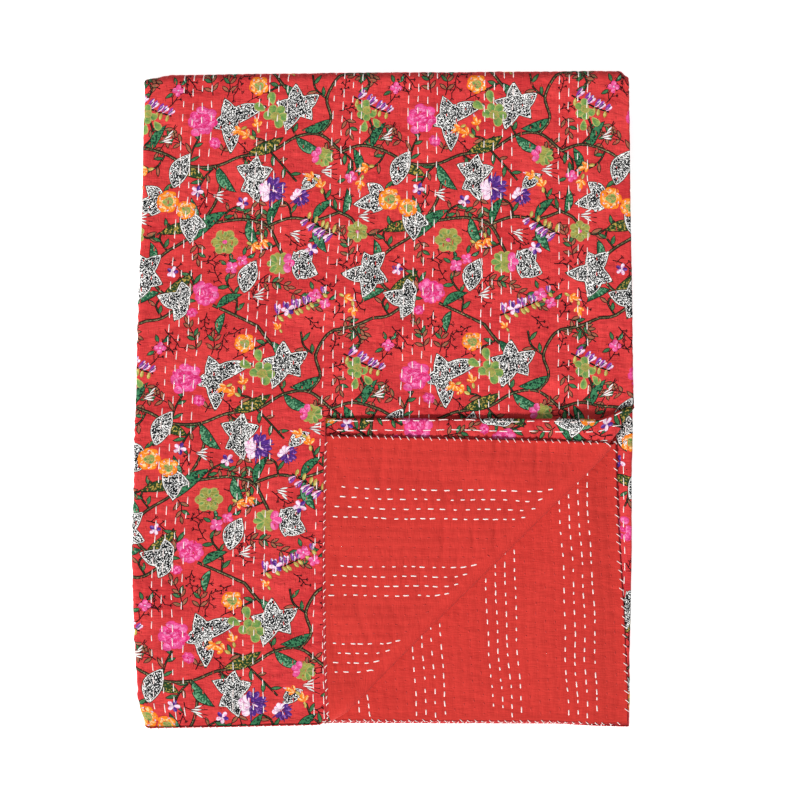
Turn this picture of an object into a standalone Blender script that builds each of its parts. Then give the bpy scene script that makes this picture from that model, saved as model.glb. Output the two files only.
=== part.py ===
"""A kantha quilt folded into a flat packet, with one corner turned back.

The quilt is one sewn sheet. It is drawn flat, as triangles between its hems, rows of stitches and
fold lines, and every point is then carried through the folds: the side folds that lay four layers
on each other, the cross fold that makes eight of them, and the turned-back corner of the top three.
Units are metres. X runs to the right, Y to the back and Z up, and the packet lies on z = 0.
"""

import math

import bmesh
import bpy
import numpy as np
from mathutils import Vector
from mathutils.geometry import delaunay_2d_cdt

# The sheet
THICKNESS = 0.0020        # between two rows of stitches
PINCHED = 0.0012          # along a row of stitches
HEM_THICKNESS = 0.0023
HEM_WIDTH = 0.006
LAYER_PITCH = 0.0027      # from the middle of one layer to the middle of the next

# The packet
LEFT_NOSE = -0.2877       # where the outer left fold ends
RIGHT_NOSE = 0.2924
BACK_NOSE = 0.3835        # where the cross fold ends
FRONT_HEM = -0.3810
LOW_HEM_X = 0.2502        # the side hem of the lowest layer of the four, at the cross fold
HIGH_HEM_X = 0.2549       # the other side hem

# The corner that is turned back, over a line across the corner at 45 degrees
TURN_LINE = 0.2229        # the mirror line's distance from the origin, along (1, -1) / sqrt(2)
TURN_INNER_RADIUS = 0.0023
TURN_CLOTH_RADIUS = 0.0039
TURN_SINK = 0.0065        # how the turned layers slope down onto the packet, from the roll

# Rows of stitches, in groups
ROW_PITCH = 0.0112
GROUP_PITCH = 0.0895
ROWS_IN_GROUP = 4
ROW_BESIDE_TURN = 0.004   # a row ends this far from the turned corner's roll
LEAST_ROW = 0.01

# Facets
ARC_STEPS = 6
RUN_COLUMNS = 6
BESIDE_FOLD = 0.022       # a column of points this far from each side fold
HALF_BANDS = 8
BESIDE_HEM = 0.028        # a band this far from each end of the quilt
PINCH_SHARE = 0.05        # a flat point this share of a row's pitch from a row lies on it
MERGED = 2e-5             # flat points that are closer than this are one
SLOPE_STEP = 0.0001       # between the two points that give a slope
ROUNDS = 6                # of closing in on a place that has no formula

HALF_PI = math.pi / 2
OUTER_RADIUS = 1.5 * LAYER_PITCH
INNER_RADIUS = 0.5 * LAYER_PITCH
CROSS_RADIUS = 3.5 * LAYER_PITCH
CROSS_ARC = CROSS_RADIUS * HALF_PI
CROSS_HEIGHT = CROSS_RADIUS + THICKNESS / 2
CROSS_Y = BACK_NOSE - CROSS_HEIGHT
HALF_LENGTH = CROSS_ARC + CROSS_Y - FRONT_HEM
LEFT_AXIS = LEFT_NOSE + OUTER_RADIUS + THICKNESS / 2
RIGHT_AXIS = RIGHT_NOSE - INNER_RADIUS - THICKNESS / 2
FULL_RUN = RIGHT_AXIS - LEFT_AXIS
TURN_START = TURN_LINE - TURN_CLOTH_RADIUS * HALF_PI
TURN_CLOTH = TURN_CLOTH_RADIUS * math.pi
TURN_HEIGHT = CROSS_HEIGHT + CROSS_RADIUS + TURN_INNER_RADIUS


def run(name, x, way, level, length):
    """A flat stretch of the section. level counts layer pitches over the cross fold's axis."""
    return {"name": name, "x": x, "way": way, "level": level, "length": length, "radius": 0.0}


def turn(name, x, side, level, radius, rise):
    """A half circle about (x, level). side is where it bulges, rise is +1 going up."""
    return {"name": name, "x": x, "way": side, "level": level, "length": math.pi * radius,
            "radius": radius, "rise": rise}


# The section across the packet's upper half, from one side hem to the other
SECTION = [
    run("lowest", LOW_HEM_X, -1, 0.5, LOW_HEM_X - LEFT_AXIS),
    turn("outer left fold", LEFT_AXIS, -1, 2.0, OUTER_RADIUS, 1),
    run("top", LEFT_AXIS, 1, 3.5, FULL_RUN),
    turn("right fold", RIGHT_AXIS, 1, 3.0, INNER_RADIUS, -1),
    run("second", RIGHT_AXIS, -1, 2.5, FULL_RUN),
    turn("inner left fold", LEFT_AXIS, -1, 2.0, INNER_RADIUS, -1),
    run("third", LEFT_AXIS, 1, 1.5, HIGH_HEM_X - LEFT_AXIS),
]
WIDTH = sum(part["length"] for part in SECTION)


def section_start(name):
    """How far along the section a named part of it begins."""
    start = 0.0
    for part in SECTION:
        if part["name"] == name:
            return start
        start += part["length"]
    raise KeyError(name)


# How far the folds run out of true with the rows of stitches, and how long each layer lies
SKEW = [
    {"across": 0.0, "slope": -0.0496, "stretch": 0.996},
    {"across": section_start("outer left fold"), "slope": -0.0480, "stretch": 0.996},
    {"across": section_start("top"), "slope": -0.0460, "stretch": 1.002},
    {"across": section_start("top") + FULL_RUN / 2, "slope": -0.0240, "stretch": 1.001},
    {"across": section_start("right fold"), "slope": -0.0060, "stretch": 1.000},
    {"across": section_start("inner left fold"), "slope": 0.0080, "stretch": 0.999},
    {"across": WIDTH, "slope": 0.0213, "stretch": 0.998},
]

# Where the packet's two sides lie off the straight, in metres to the right
SIDE_SHIFTS = [
    {"y": -0.378, "left": 0.0060, "right": -0.0047},
    {"y": -0.345, "left": 0.0023, "right": -0.0035},
    {"y": -0.304, "left": 0.0000, "right": -0.0030},
    {"y": -0.241, "left": -0.0035, "right": -0.0015},
    {"y": -0.178, "left": -0.0053, "right": 0.0000},
    {"y": -0.093, "left": -0.0028, "right": 0.0000},
    {"y": 0.012, "left": 0.0000, "right": 0.0000},
    {"y": 0.105, "left": 0.0023, "right": 0.0000},
    {"y": 0.230, "left": 0.0070, "right": -0.0020},
    {"y": 0.308, "left": 0.0082, "right": -0.0030},
    {"y": 0.384, "left": 0.0117, "right": -0.0045},
]

# Where its two ends lie off the straight, in metres to the back
END_SHIFTS = [
    {"x": -0.290, "front": -0.0035, "back": -0.0040},
    {"x": -0.190, "front": -0.0028, "back": -0.0025},
    {"x": -0.065, "front": 0.0000, "back": -0.0012},
    {"x": 0.020, "front": 0.0008, "back": 0.0000},
    {"x": 0.205, "front": 0.0008, "back": 0.0005},
    {"x": 0.255, "front": -0.0015, "back": 0.0005},
    {"x": 0.292, "front": -0.0018, "back": 0.0000},
]

# Soft corners: how far each is drawn in along X and Y, over a corner patch of this size
CORNERS = [
    {"x": 0.292, "y": 0.383, "wide": 0.024, "deep": 0.060, "in_x": 0.0, "in_y": -0.007},
    {"x": -0.288, "y": 0.383, "wide": 0.070, "deep": 0.060, "in_x": 0.0, "in_y": -0.006},
    {"x": -0.288, "y": -0.384, "wide": 0.100, "deep": 0.034, "in_x": 0.0055, "in_y": 0.0},
]

# Low swells in the packet's height, as shares of the height
SWELLS = [
    {"share": 0.016, "along_x": 13.0, "along_y": 4.0, "phase": 0.6},
    {"share": 0.014, "along_x": -5.0, "along_y": 14.0, "phase": 2.1},
    {"share": 0.008, "along_x": 17.0, "along_y": -11.0, "phase": 4.0},
]

# Groups of stitch rows that show. from_edge runs from the named place to a group's first row
ROW_GROUPS = [
    {"layer": "lowest", "from_edge": 0.0344, "groups": 4},
    {"layer": "top", "from_edge": 0.0442, "groups": 6},
    {"layer": "third", "from_edge": 0.0586, "groups": 3},
]

CLOTH_COLOUR = (0.60, 0.045, 0.035, 1.0)
CLOTH_ROUGHNESS = 0.85


def column(rows, name):
    return [row[name] for row in rows]


def smooth(t):
    """0 below 0, 1 above 1, and a soft step between."""
    t = np.clip(t, 0.0, 1.0)
    return t * t * (3.0 - 2.0 * t)


def slope_at(across):
    return np.interp(across, column(SKEW, "across"), column(SKEW, "slope"))


def stretch_at(across):
    return np.interp(across, column(SKEW, "across"), column(SKEW, "stretch"))


def across_of(u, along):
    """Cloth's u to the distance along the folded section, at a place along the quilt."""
    return u + slope_at(u) * along


def cloth_of(across, along):
    """The other way round, closed in on in a few steps."""
    u = np.array(across, dtype=float)
    for _ in range(ROUNDS):
        u = across - slope_at(u) * along
    return u


def side_folded(across):
    """x, and height over the cross fold's axis, of a point on the upper half's section."""
    x, height = np.empty_like(across), np.empty_like(across)
    start = 0.0
    for number, part in enumerate(SECTION):
        here = across >= start if number else np.full(across.shape, True)
        along = across[here] - start
        if part["radius"]:
            angle = along / part["radius"]
            x[here] = part["x"] + part["way"] * part["radius"] * np.sin(angle)
            height[here] = part["level"] * LAYER_PITCH - part["rise"] * part["radius"] * np.cos(angle)
        else:
            x[here] = part["x"] + part["way"] * along
            height[here] = part["level"] * LAYER_PITCH
        start += part["length"]
    return x, height


def cross_folded(along, height, across):
    """y and z after the cross fold. along is 0 at the fold's nose and positive on the upper half."""
    angle = np.clip(along / CROSS_RADIUS, -HALF_PI, HALF_PI)
    rest = (np.abs(along) - CROSS_ARC).clip(0.0) * stretch_at(across)
    y = CROSS_Y + height * np.cos(angle) - rest
    z = CROSS_HEIGHT + height * np.sin(angle)
    return y, z


def corner_turned(x, y, z, turns):
    """Rolls what lies past the turn's start back over the top of the packet."""
    half = math.sqrt(0.5)
    past = (x - y) * half - TURN_START
    beside = (x + y) * half
    moved = turns & (past > 0.0)
    radius = TURN_HEIGHT - z
    angle = np.clip(past / TURN_CLOTH_RADIUS, 0.0, math.pi)
    beyond = (past - TURN_CLOTH).clip(0.0)
    new_past = radius * np.sin(angle) - beyond
    new_z = TURN_HEIGHT - radius * np.cos(angle) - TURN_SINK * beyond
    out = TURN_START + np.where(moved, new_past, past)
    return (beside + out) * half, (beside - out) * half, np.where(moved, new_z, z)


def patch(x, y, place):
    """1 at a named place and 0 outside a soft patch around it."""
    near_x = smooth(1.0 - np.abs(x - place["x"]) / place["wide"])
    near_y = smooth(1.0 - np.abs(y - place["y"]) / place["deep"])
    return near_x * near_y


def uneven(x, y, z):
    """Takes the true rectangle to the packet's own outline, and swells it a little."""
    heights, places = column(SIDE_SHIFTS, "y"), column(END_SHIFTS, "x")
    share_x = (x - LEFT_NOSE) / (RIGHT_NOSE - LEFT_NOSE)
    share_y = (y - FRONT_HEM) / (BACK_NOSE - FRONT_HEM)
    left = np.interp(y, heights, column(SIDE_SHIFTS, "left"))
    right = np.interp(y, heights, column(SIDE_SHIFTS, "right"))
    front = np.interp(x, places, column(END_SHIFTS, "front"))
    back = np.interp(x, places, column(END_SHIFTS, "back"))
    new_x = x + left + (right - left) * share_x
    new_y = y + front + (back - front) * share_y
    for corner in CORNERS:
        near = patch(x, y, corner)
        new_x = new_x + corner["in_x"] * near
        new_y = new_y + corner["in_y"] * near
    swell = 1.0
    for wave in SWELLS:
        swell = swell + wave["share"] * np.sin(wave["along_x"] * x + wave["along_y"] * y + wave["phase"])
    return new_x, new_y, z * swell


def folded(u, along):
    """Where a point of the flat quilt's middle surface lies in the packet."""
    across = across_of(u, along)
    x, height = side_folded(across)
    y, z = cross_folded(along, height, across)
    turns = (across > section_start("top")) & (along > 0.0)
    x, y, z = corner_turned(x, y, z, turns)
    return np.stack(uneven(x, y, z), axis=-1)


def normals(u, along):
    """The middle surface's normals, on the printed side."""
    by_u = folded(u + SLOPE_STEP, along) - folded(u - SLOPE_STEP, along)
    by_along = folded(u, along + SLOPE_STEP) - folded(u, along - SLOPE_STEP)
    normal = np.cross(by_along, by_u)
    return normal / np.linalg.norm(normal, axis=1, keepdims=True)


def along_at_turn(across, distance):
    """The place along the quilt where a line across the section lies this far past the turn's start."""
    x, _ = side_folded(across)
    y = x - (TURN_START + distance) * math.sqrt(2.0)
    return CROSS_ARC + (CROSS_Y - y) / stretch_at(across)


def stitch_rows():
    """Each row of stitches that shows: its u, and where along the quilt it starts and ends."""
    rows = []
    for group in ROW_GROUPS:
        for number in range(group["groups"] * ROWS_IN_GROUP):
            step = number // ROWS_IN_GROUP * GROUP_PITCH + number % ROWS_IN_GROUP * ROW_PITCH
            offset = group["from_edge"] + step
            if group["layer"] == "lowest":
                u, begins, ends = offset, reach(offset, 0.0), HALF_LENGTH
            elif group["layer"] == "third":
                u = WIDTH - offset
                begins, ends = reach(u, TURN_CLOTH + ROW_BESIDE_TURN), HALF_LENGTH
            else:
                u = section_start("top") + offset
                begins, ends = 0.0, min(HALF_LENGTH, reach(u, -ROW_BESIDE_TURN))
            if ends - begins > LEAST_ROW:
                rows.append({"u": u, "begins": begins, "ends": ends})
    return rows


def reach(u, distance):
    """Where a row at u comes this far past the turn's start."""
    along = HALF_LENGTH / 2
    for _ in range(ROUNDS):
        across = np.array([across_of(u, along)])
        along = float(along_at_turn(across, distance)[0])
    return along


def bands():
    """The places along the quilt of the lines that run right across it."""
    nose = [CROSS_ARC * (step / (ARC_STEPS / 2) - 1.0) for step in range(ARC_STEPS + 1)]
    flat = HALF_LENGTH - CROSS_ARC
    one_side = [CROSS_ARC + flat * step / HALF_BANDS for step in range(1, HALF_BANDS)]
    one_side += [HALF_LENGTH - BESIDE_HEM, HALF_LENGTH - HEM_WIDTH, HALF_LENGTH]
    return sorted(nose + one_side + [-place for place in one_side])


def fold_columns():
    """The places along the section of the folds' facets and the runs' columns."""
    places = []
    for part in SECTION:
        start = section_start(part["name"])
        if part["radius"]:
            places += [start + part["length"] * step / ARC_STEPS for step in range(ARC_STEPS + 1)]
            continue
        inner = [LEFT_AXIS + FULL_RUN * step / RUN_COLUMNS for step in range(1, RUN_COLUMNS)]
        beside_folds = [LEFT_AXIS + BESIDE_FOLD]
        if part["length"] == FULL_RUN:
            beside_folds.append(RIGHT_AXIS - BESIDE_FOLD)
        places += [start + part["way"] * (x - part["x"]) for x in inner + beside_folds]
    return places


def turn_lines():
    """The facets of the turned corner's roll, each as a list of flat points."""
    lines = []
    top, third = section_start("top"), section_start("third")
    arc = section_start("right fold")
    steps = [FULL_RUN * step / RUN_COLUMNS for step in range(RUN_COLUMNS + 1)]
    arcs = [INNER_RADIUS * math.pi * step / ARC_STEPS for step in range(1, ARC_STEPS)]
    round_the_fold = [top + s for s in steps] + [arc + s for s in arcs]
    round_the_fold += [section_start("second") + s for s in steps]
    for step in range(ARC_STEPS + 1):
        distance = TURN_CLOTH * step / ARC_STEPS
        for places in (round_the_fold, [third + s for s in steps]):
            across = np.array(places)
            along = along_at_turn(across, distance)
            lines.append(list(zip(cloth_of(across, along), along)))
    return lines


def flat_lines():
    """All lines of the flat quilt that its facets follow, as lists of (u, along) points."""
    places = bands()
    lines = [[(0.0, place), (WIDTH, place)] for place in places]
    for edge in (0.0, HEM_WIDTH, WIDTH - HEM_WIDTH, WIDTH):
        lines.append([(edge, -HALF_LENGTH), (edge, HALF_LENGTH)])
    for across in fold_columns():
        along = np.array(places)
        lines.append(list(zip(cloth_of(np.full(along.shape, across), along), along)))
    for row in stitch_rows():
        for offset in (-ROW_PITCH / 2, 0.0, ROW_PITCH / 2):
            u = row["u"] + offset
            if HEM_WIDTH < u < WIDTH - HEM_WIDTH:
                lines.append([(u, row["begins"]), (u, row["ends"])])
    return lines + turn_lines()


def flat_triangles():
    """The flat quilt cut into triangles: its points and its faces."""
    points, edges, known = [], [], {}
    for line in flat_lines():
        numbers = []
        for u, along in line:
            key = (round(float(u), 7), round(float(along), 7))
            if key not in known:
                known[key] = len(points)
                points.append(Vector(key))
            numbers.append(known[key])
        edges += [pair for pair in zip(numbers, numbers[1:]) if pair[0] != pair[1]]
    points, _, faces, *_ = delaunay_2d_cdt(points, edges, [], 0, MERGED)
    flat = np.array([point[:] for point in points])
    inside = []
    for face in faces:
        u, along = flat[list(face)].mean(axis=0)
        if 0.0 < u < WIDTH and abs(along) < HALF_LENGTH:
            inside.append(list(face))
    used = sorted({number for face in inside for number in face})
    renamed = {number: place for place, number in enumerate(used)}
    return flat[used], [[renamed[number] for number in face] for face in inside]


def half_thickness(u, along):
    """Half of the sheet's thickness at each flat point."""
    half = np.full(u.shape, THICKNESS / 2)
    hem = (u < HEM_WIDTH) | (u > WIDTH - HEM_WIDTH) | (np.abs(along) > HALF_LENGTH - HEM_WIDTH)
    half[hem] = HEM_THICKNESS / 2
    for row in stitch_rows():
        on_row = np.abs(u - row["u"]) < ROW_PITCH * PINCH_SHARE
        half[on_row & ~hem & (along > row["begins"]) & (along < row["ends"])] = PINCHED / 2
    return half


def cloth_material():
    material = bpy.data.materials.new("printed_cotton")
    material.use_nodes = True
    shader = material.node_tree.nodes["Principled BSDF"]
    shader.inputs["Base Color"].default_value = CLOTH_COLOUR
    shader.inputs["Roughness"].default_value = CLOTH_ROUGHNESS
    shader.inputs["Metallic"].default_value = 0.0
    return material


def make_quilt():
    """The quilt as one closed solid."""
    flat, faces = flat_triangles()
    u, along = flat[:, 0], flat[:, 1]
    middle = folded(u, along)
    offset = normals(u, along) * half_thickness(u, along)[:, None]
    printed, plain = middle + offset, middle - offset
    across = across_of(u, along)
    on_floor = (across >= section_start("top")) & (across <= section_start("right fold"))
    on_floor &= along <= -CROSS_ARC
    printed[on_floor, 2] = 0.0
    printed[:, 2] = printed[:, 2].clip(0.0)
    low, high = printed.min(axis=0), printed.max(axis=0)
    centre = np.array([(low[0] + high[0]) / 2, (low[1] + high[1]) / 2, 0.0])

    mesh = bmesh.new()
    upper = [mesh.verts.new(point) for point in printed - centre]
    lower = [mesh.verts.new(point) for point in plain - centre]
    for face in faces:
        mesh.faces.new([upper[number] for number in face])
    rim = [edge for edge in mesh.edges if edge.is_boundary]
    mirror = dict(zip(upper, lower))
    for edge in rim:
        first, second = (loop.vert for loop in (edge.link_loops[0], edge.link_loops[0].link_loop_next))
        mesh.faces.new([second, first, mirror[first], mirror[second]])
    for face in faces:
        mesh.faces.new([lower[number] for number in reversed(face)])
    bmesh.ops.recalc_face_normals(mesh, faces=mesh.faces)
    bmesh.ops.triangulate(mesh, faces=mesh.faces)
    data = bpy.data.meshes.new("quilt")
    mesh.to_mesh(data)
    mesh.free()
    data.materials.append(cloth_material())
    quilt = bpy.data.objects.new("quilt", data)
    bpy.context.collection.objects.link(quilt)
    return quilt


def main():
    for thing in list(bpy.data.objects):
        bpy.data.objects.remove(thing)
    make_quilt()


main()
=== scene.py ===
import math

import bpy
import numpy as np
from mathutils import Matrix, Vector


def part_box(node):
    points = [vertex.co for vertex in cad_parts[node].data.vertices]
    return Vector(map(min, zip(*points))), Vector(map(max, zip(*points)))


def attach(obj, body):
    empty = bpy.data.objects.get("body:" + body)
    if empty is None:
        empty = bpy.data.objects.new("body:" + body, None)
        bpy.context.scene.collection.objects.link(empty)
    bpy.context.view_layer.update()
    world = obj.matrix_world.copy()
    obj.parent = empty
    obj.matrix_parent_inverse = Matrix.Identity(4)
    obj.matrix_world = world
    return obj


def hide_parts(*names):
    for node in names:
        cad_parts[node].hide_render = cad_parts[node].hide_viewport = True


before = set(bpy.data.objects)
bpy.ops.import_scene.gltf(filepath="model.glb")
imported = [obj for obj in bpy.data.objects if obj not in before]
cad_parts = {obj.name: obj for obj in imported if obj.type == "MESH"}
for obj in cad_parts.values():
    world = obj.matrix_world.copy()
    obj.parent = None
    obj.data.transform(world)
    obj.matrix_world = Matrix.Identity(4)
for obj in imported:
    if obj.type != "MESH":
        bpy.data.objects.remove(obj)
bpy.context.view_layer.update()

boxLow, boxHigh = (np.array(corner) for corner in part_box("quilt"))
halfPi = math.pi / 2
aslant = math.sqrt(0.5)
print("frame loaded, quilt box", boxLow.round(4), boxHigh.round(4))


def table(names, *rows):
    # rows of values, each as a dictionary with these names
    return [dict(zip(names.split(), row)) for row in rows]


def read(rows, name):
    return [row[name] for row in rows]


def between(rows, by, place, name):
    # a value that changes evenly from one row to the next
    return np.interp(place, read(rows, by), read(rows, name))


def smooth(t):
    t = np.clip(t, 0.0, 1.0)
    return t * t * (3.0 - 2.0 * t)


def patch(x, y, place):
    # from 1 at a place to 0 at the edge of its patch
    return (smooth(1.0 - np.abs(x - place["x"]) / place["wide"])
            * smooth(1.0 - np.abs(y - place["y"]) / place["deep"]))


# The folded packet, in metres: the same folds as the solid quilt has

packet = {
    "thickness": 0.0020,
    "layerPitch": 0.0027,        # from the middle of one layer to the middle of the next
    "leftNose": -0.2877,         # where the outer left fold ends
    "rightNose": 0.2924,
    "backNose": 0.3835,
    "frontHem": -0.3810,
    "lowHemX": 0.2502,           # the side hem of the lowest of four layers, at the cross fold
    "highHemX": 0.2549,          # the other side hem
}
halfThick, pitch = packet["thickness"] / 2, packet["layerPitch"]
outerRadius, innerRadius, crossRadius = 1.5 * pitch, 0.5 * pitch, 3.5 * pitch
crossArc = crossRadius * halfPi
crossHeight = crossRadius + halfThick
crossY = packet["backNose"] - crossHeight
halfLength = crossArc + crossY - packet["frontHem"]
leftAxis = packet["leftNose"] + outerRadius + halfThick
rightAxis = packet["rightNose"] - innerRadius - halfThick
fullRun = rightAxis - leftAxis

# The roll of the turned corner
turned = {
    "line": 0.2229,              # how far its fold is from the packet's middle
    "innerRadius": 0.0023,
    "clothRadius": 0.0045,
    "sink": 0.020,               # how fast the turned layers sink away from the roll
    "deepest": 0.0021,
    "bulge": 1.8,                # how far the soft roll stands out, as a share of a round one
    "droop": 0.5,                # how far its nose hangs down
    "end": -0.318,               # along the roll, where it ends at the front hem
    "flat": 0.034,               # how far from there it lies flatter
}
turnStart = turned["line"] - turned["clothRadius"] * halfPi
turnCloth = turned["clothRadius"] * math.pi
turnHeight = crossHeight + crossRadius + turned["innerRadius"]
turnBase = crossHeight + 1.5 * pitch

# The section across the packet, from one side hem of the quilt to the other: runs that go left or
# right at a level, counted in layers from the floor, and bends about an axis, which rise or fall
section = table(
    "x way level radius rise length",
    (packet["lowHemX"], -1, 0.5, 0.0, 0, packet["lowHemX"] - leftAxis),
    (leftAxis, -1, 2.0, outerRadius, 1, outerRadius * math.pi),
    (leftAxis, 1, 3.5, 0.0, 0, fullRun),
    (rightAxis, 1, 3.0, innerRadius, -1, innerRadius * math.pi),
    (rightAxis, -1, 2.5, 0.0, 0, fullRun),
    (leftAxis, -1, 2.0, innerRadius, -1, innerRadius * math.pi),
    (leftAxis, 1, 1.5, 0.0, 0, packet["highHemX"] - leftAxis))
quiltWidth = 0.0
for part in section:
    part["start"] = quiltWidth
    quiltWidth += part["length"]
outerFold, topLayer, rightFold, secondLayer, innerFold, thirdLayer = read(section, "start")[1:]

# How far the folds run out of true with the stitch rows, and how long each layer lies
skew = table(
    "across slope stretch", (0.0, -0.0496, 0.996), (outerFold, -0.0480, 0.996), (topLayer, -0.0460, 1.002),
    (topLayer + fullRun / 2, -0.0240, 1.001), (rightFold, -0.0060, 1.000), (innerFold, 0.0080, 0.999),
    (quiltWidth, 0.0213, 0.998))

# Where the packet's sides lie off the straight, in metres to the right
sideShifts = table(
    "y left right",
    (-0.378, 0.0045, -0.0026), (-0.345, 0.0012, -0.0012), (-0.304, -0.0014, -0.0016),
    (-0.241, -0.0047, 0.0004), (-0.178, -0.0058, 0.0013), (-0.093, -0.0036, 0.0006),
    (-0.040, -0.0026, 0.0020), (0.012, -0.0012, 0.0010), (0.105, 0.0012, 0.0),
    (0.230, 0.0062, -0.0022), (0.308, 0.0074, -0.0030), (0.384, 0.0102, -0.0040))

# Where its front and back lie off the straight, in metres to the back
endShifts = table(
    "x front back",
    (-0.290, -0.0012, -0.0036), (-0.190, 0.0, -0.0021), (-0.065, 0.0024, -0.0004), (0.020, 0.0018, 0.0002),
    (0.205, 0.0010, 0.0013), (0.255, -0.0017, 0.0020), (0.292, -0.0025, 0.0015))

# Soft corners: how far each is drawn in over a patch
softCorners = table(
    "x y wide deep inX inY",
    (0.292, 0.383, 0.011, 0.060, 0.0, -0.0070), (-0.288, 0.383, 0.016, 0.014, -0.0026, 0.0012),
    (-0.288, 0.383, 0.032, 0.060, 0.0, -0.0052), (-0.288, -0.384, 0.100, 0.034, 0.0055, 0.0))

# The right end of the roll curls back and up
curls = table("x y wide deep back up", (0.296, -0.030, 0.050, 0.070, 0.017, 0.003),
              (0.225, -0.022, 0.085, 0.036, 0.0, 0.0055))

# Sharp creases of the turned layers, and the share of them that each layer takes
flapCreases = table(
    "x y wide deep up",
    (0.1790, -0.056, 0.0040, 0.062, -0.0019), (0.1950, -0.054, 0.0038, 0.050, -0.0016),
    (0.2210, -0.050, 0.0042, 0.024, -0.0016), (0.1320, -0.048, 0.0045, 0.030, -0.0016),
    (0.1412, -0.048, 0.0042, 0.024, -0.0012), (0.1000, -0.050, 0.0045, 0.030, -0.0012),
    (0.0348, -0.048, 0.0045, 0.028, -0.0012), (0.0000, -0.078, 0.0060, 0.050, -0.0012),
    (0.0720, -0.162, 0.0050, 0.040, -0.0013), (0.1070, -0.162, 0.0050, 0.030, -0.0013),
    (0.1320, -0.160, 0.0050, 0.034, -0.0014), (0.0550, -0.222, 0.0260, 0.034, -0.0016),
    (0.0020, -0.330, 0.0060, 0.040, -0.0012))
creaseShares = {"top": 0.4, "second": 0.7, "third": 1.0}

# Low swells in the packet's height
swells = table("share alongX alongY phase", (0.016, 13.0, 4.0, 0.6), (0.014, -5.0, 14.0, 2.1),
               (0.008, 17.0, -11.0, 4.0), (0.013, 38.0, 66.0, 1.3), (0.012, -71.0, 44.0, 5.0),
               (0.007, 21.0, 127.0, 3.1))

# The right fold under the turned corner stands puffed up, above this height
puff = {"x": 0.292, "y": -0.21, "wide": 0.036, "deep": 0.40, "up": 0.0020, "above": 0.0012, "fades": 0.0022}

# The lowest layer's side hem hangs down beside it, and drifts to the right
sideHem = {"down": 0.0054, "width": 0.050, "fades": 0.05, "driftWidth": 0.060}
hemDrift = table("y right", (-0.378, 0.0018), (-0.290, 0.0022), (-0.235, 0.0008), (-0.188, -0.0012),
                 (-0.130, -0.0010), (-0.070, 0.0))

# Hollows and ridges of the upper layers beside the roll
dents = table("x y wide deep up", (0.225, -0.006, 0.090, 0.026, -0.0058),
              (0.200, 0.026, 0.090, 0.022, 0.0026))


def acrossOf(u, along):
    # how far across the packet's section a point of the flat quilt is
    return u + between(skew, "across", u, "slope") * along


def sideFolded(across):
    x, height = np.empty_like(across), np.empty_like(across)
    for number, part in enumerate(section):
        here = (across >= part["start"]) | (number == 0)
        distance = across[here] - part["start"]
        if part["radius"]:
            angle = distance / part["radius"]
            x[here] = part["x"] + part["way"] * part["radius"] * np.sin(angle)
            height[here] = part["level"] * pitch - part["rise"] * part["radius"] * np.cos(angle)
        else:
            x[here] = part["x"] + part["way"] * distance
            height[here] = part["level"] * pitch
    return x, height


def foldedFlat(u, along):
    # where a point of the quilt's middle lies once its sides and its cross fold are folded
    across = acrossOf(u, along)
    x, height = sideFolded(across)
    angle = np.clip(along / crossRadius, -halfPi, halfPi)
    rest = (np.abs(along) - crossArc).clip(0.0) * between(skew, "across", across, "stretch")
    return x, crossY + height * np.cos(angle) - rest, crossHeight + height * np.sin(angle), across


def pastTheTurn(u, along):
    # how far past the start of the turned corner's roll it lies, and how far across
    x, y, _, across = foldedFlat(u, along)
    return (x - y) * aslant - turnStart, across


def cornerTurned(x, y, z, turns):
    past = (x - y) * aslant - turnStart
    beside = (x + y) * aslant
    moved = turns & (past > 0.0)
    radius = turnHeight - z
    angle = np.clip(past / turned["clothRadius"], 0.0, math.pi)
    beyond = (past - turnCloth).clip(0.0)
    stands = 1.0 + (turned["bulge"] - 1.0) * smooth((beside - turned["end"]) / turned["flat"])
    bulge = stands * radius * np.sin(angle)
    nose = stands * (turnHeight - turnBase)
    sunk = turned["deepest"] * (1.0 - np.exp(-beyond * turned["sink"] / turned["deepest"]))
    newZ = turnHeight - radius * np.cos(angle) - sunk
    newZ = turnBase + (newZ - turnBase) * (1.0 - turned["droop"] * (bulge / nose) ** 2)
    out = turnStart + np.where(moved, bulge - beyond, past)
    return (beside + out) * aslant, (beside - out) * aslant, np.where(moved, newZ, z)


def uneven(x, y, z):
    shareX = (x - packet["leftNose"]) / (packet["rightNose"] - packet["leftNose"])
    shareY = (y - packet["frontHem"]) / (packet["backNose"] - packet["frontHem"])
    left, right = (between(sideShifts, "y", y, side) for side in ("left", "right"))
    front, back = (between(endShifts, "x", x, end) for end in ("front", "back"))
    newX = x + left + (right - left) * shareX
    newY = y + front + (back - front) * shareY
    for corner in softCorners:
        near = patch(x, y, corner)
        newX = newX + corner["inX"] * near
        newY = newY + corner["inY"] * near
    swell = 1.0
    for wave in swells:
        swell = swell + wave["share"] * np.sin(wave["alongX"] * x + wave["alongY"] * y + wave["phase"])
    return np.stack([newX, newY, z * swell], axis=-1)


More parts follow.
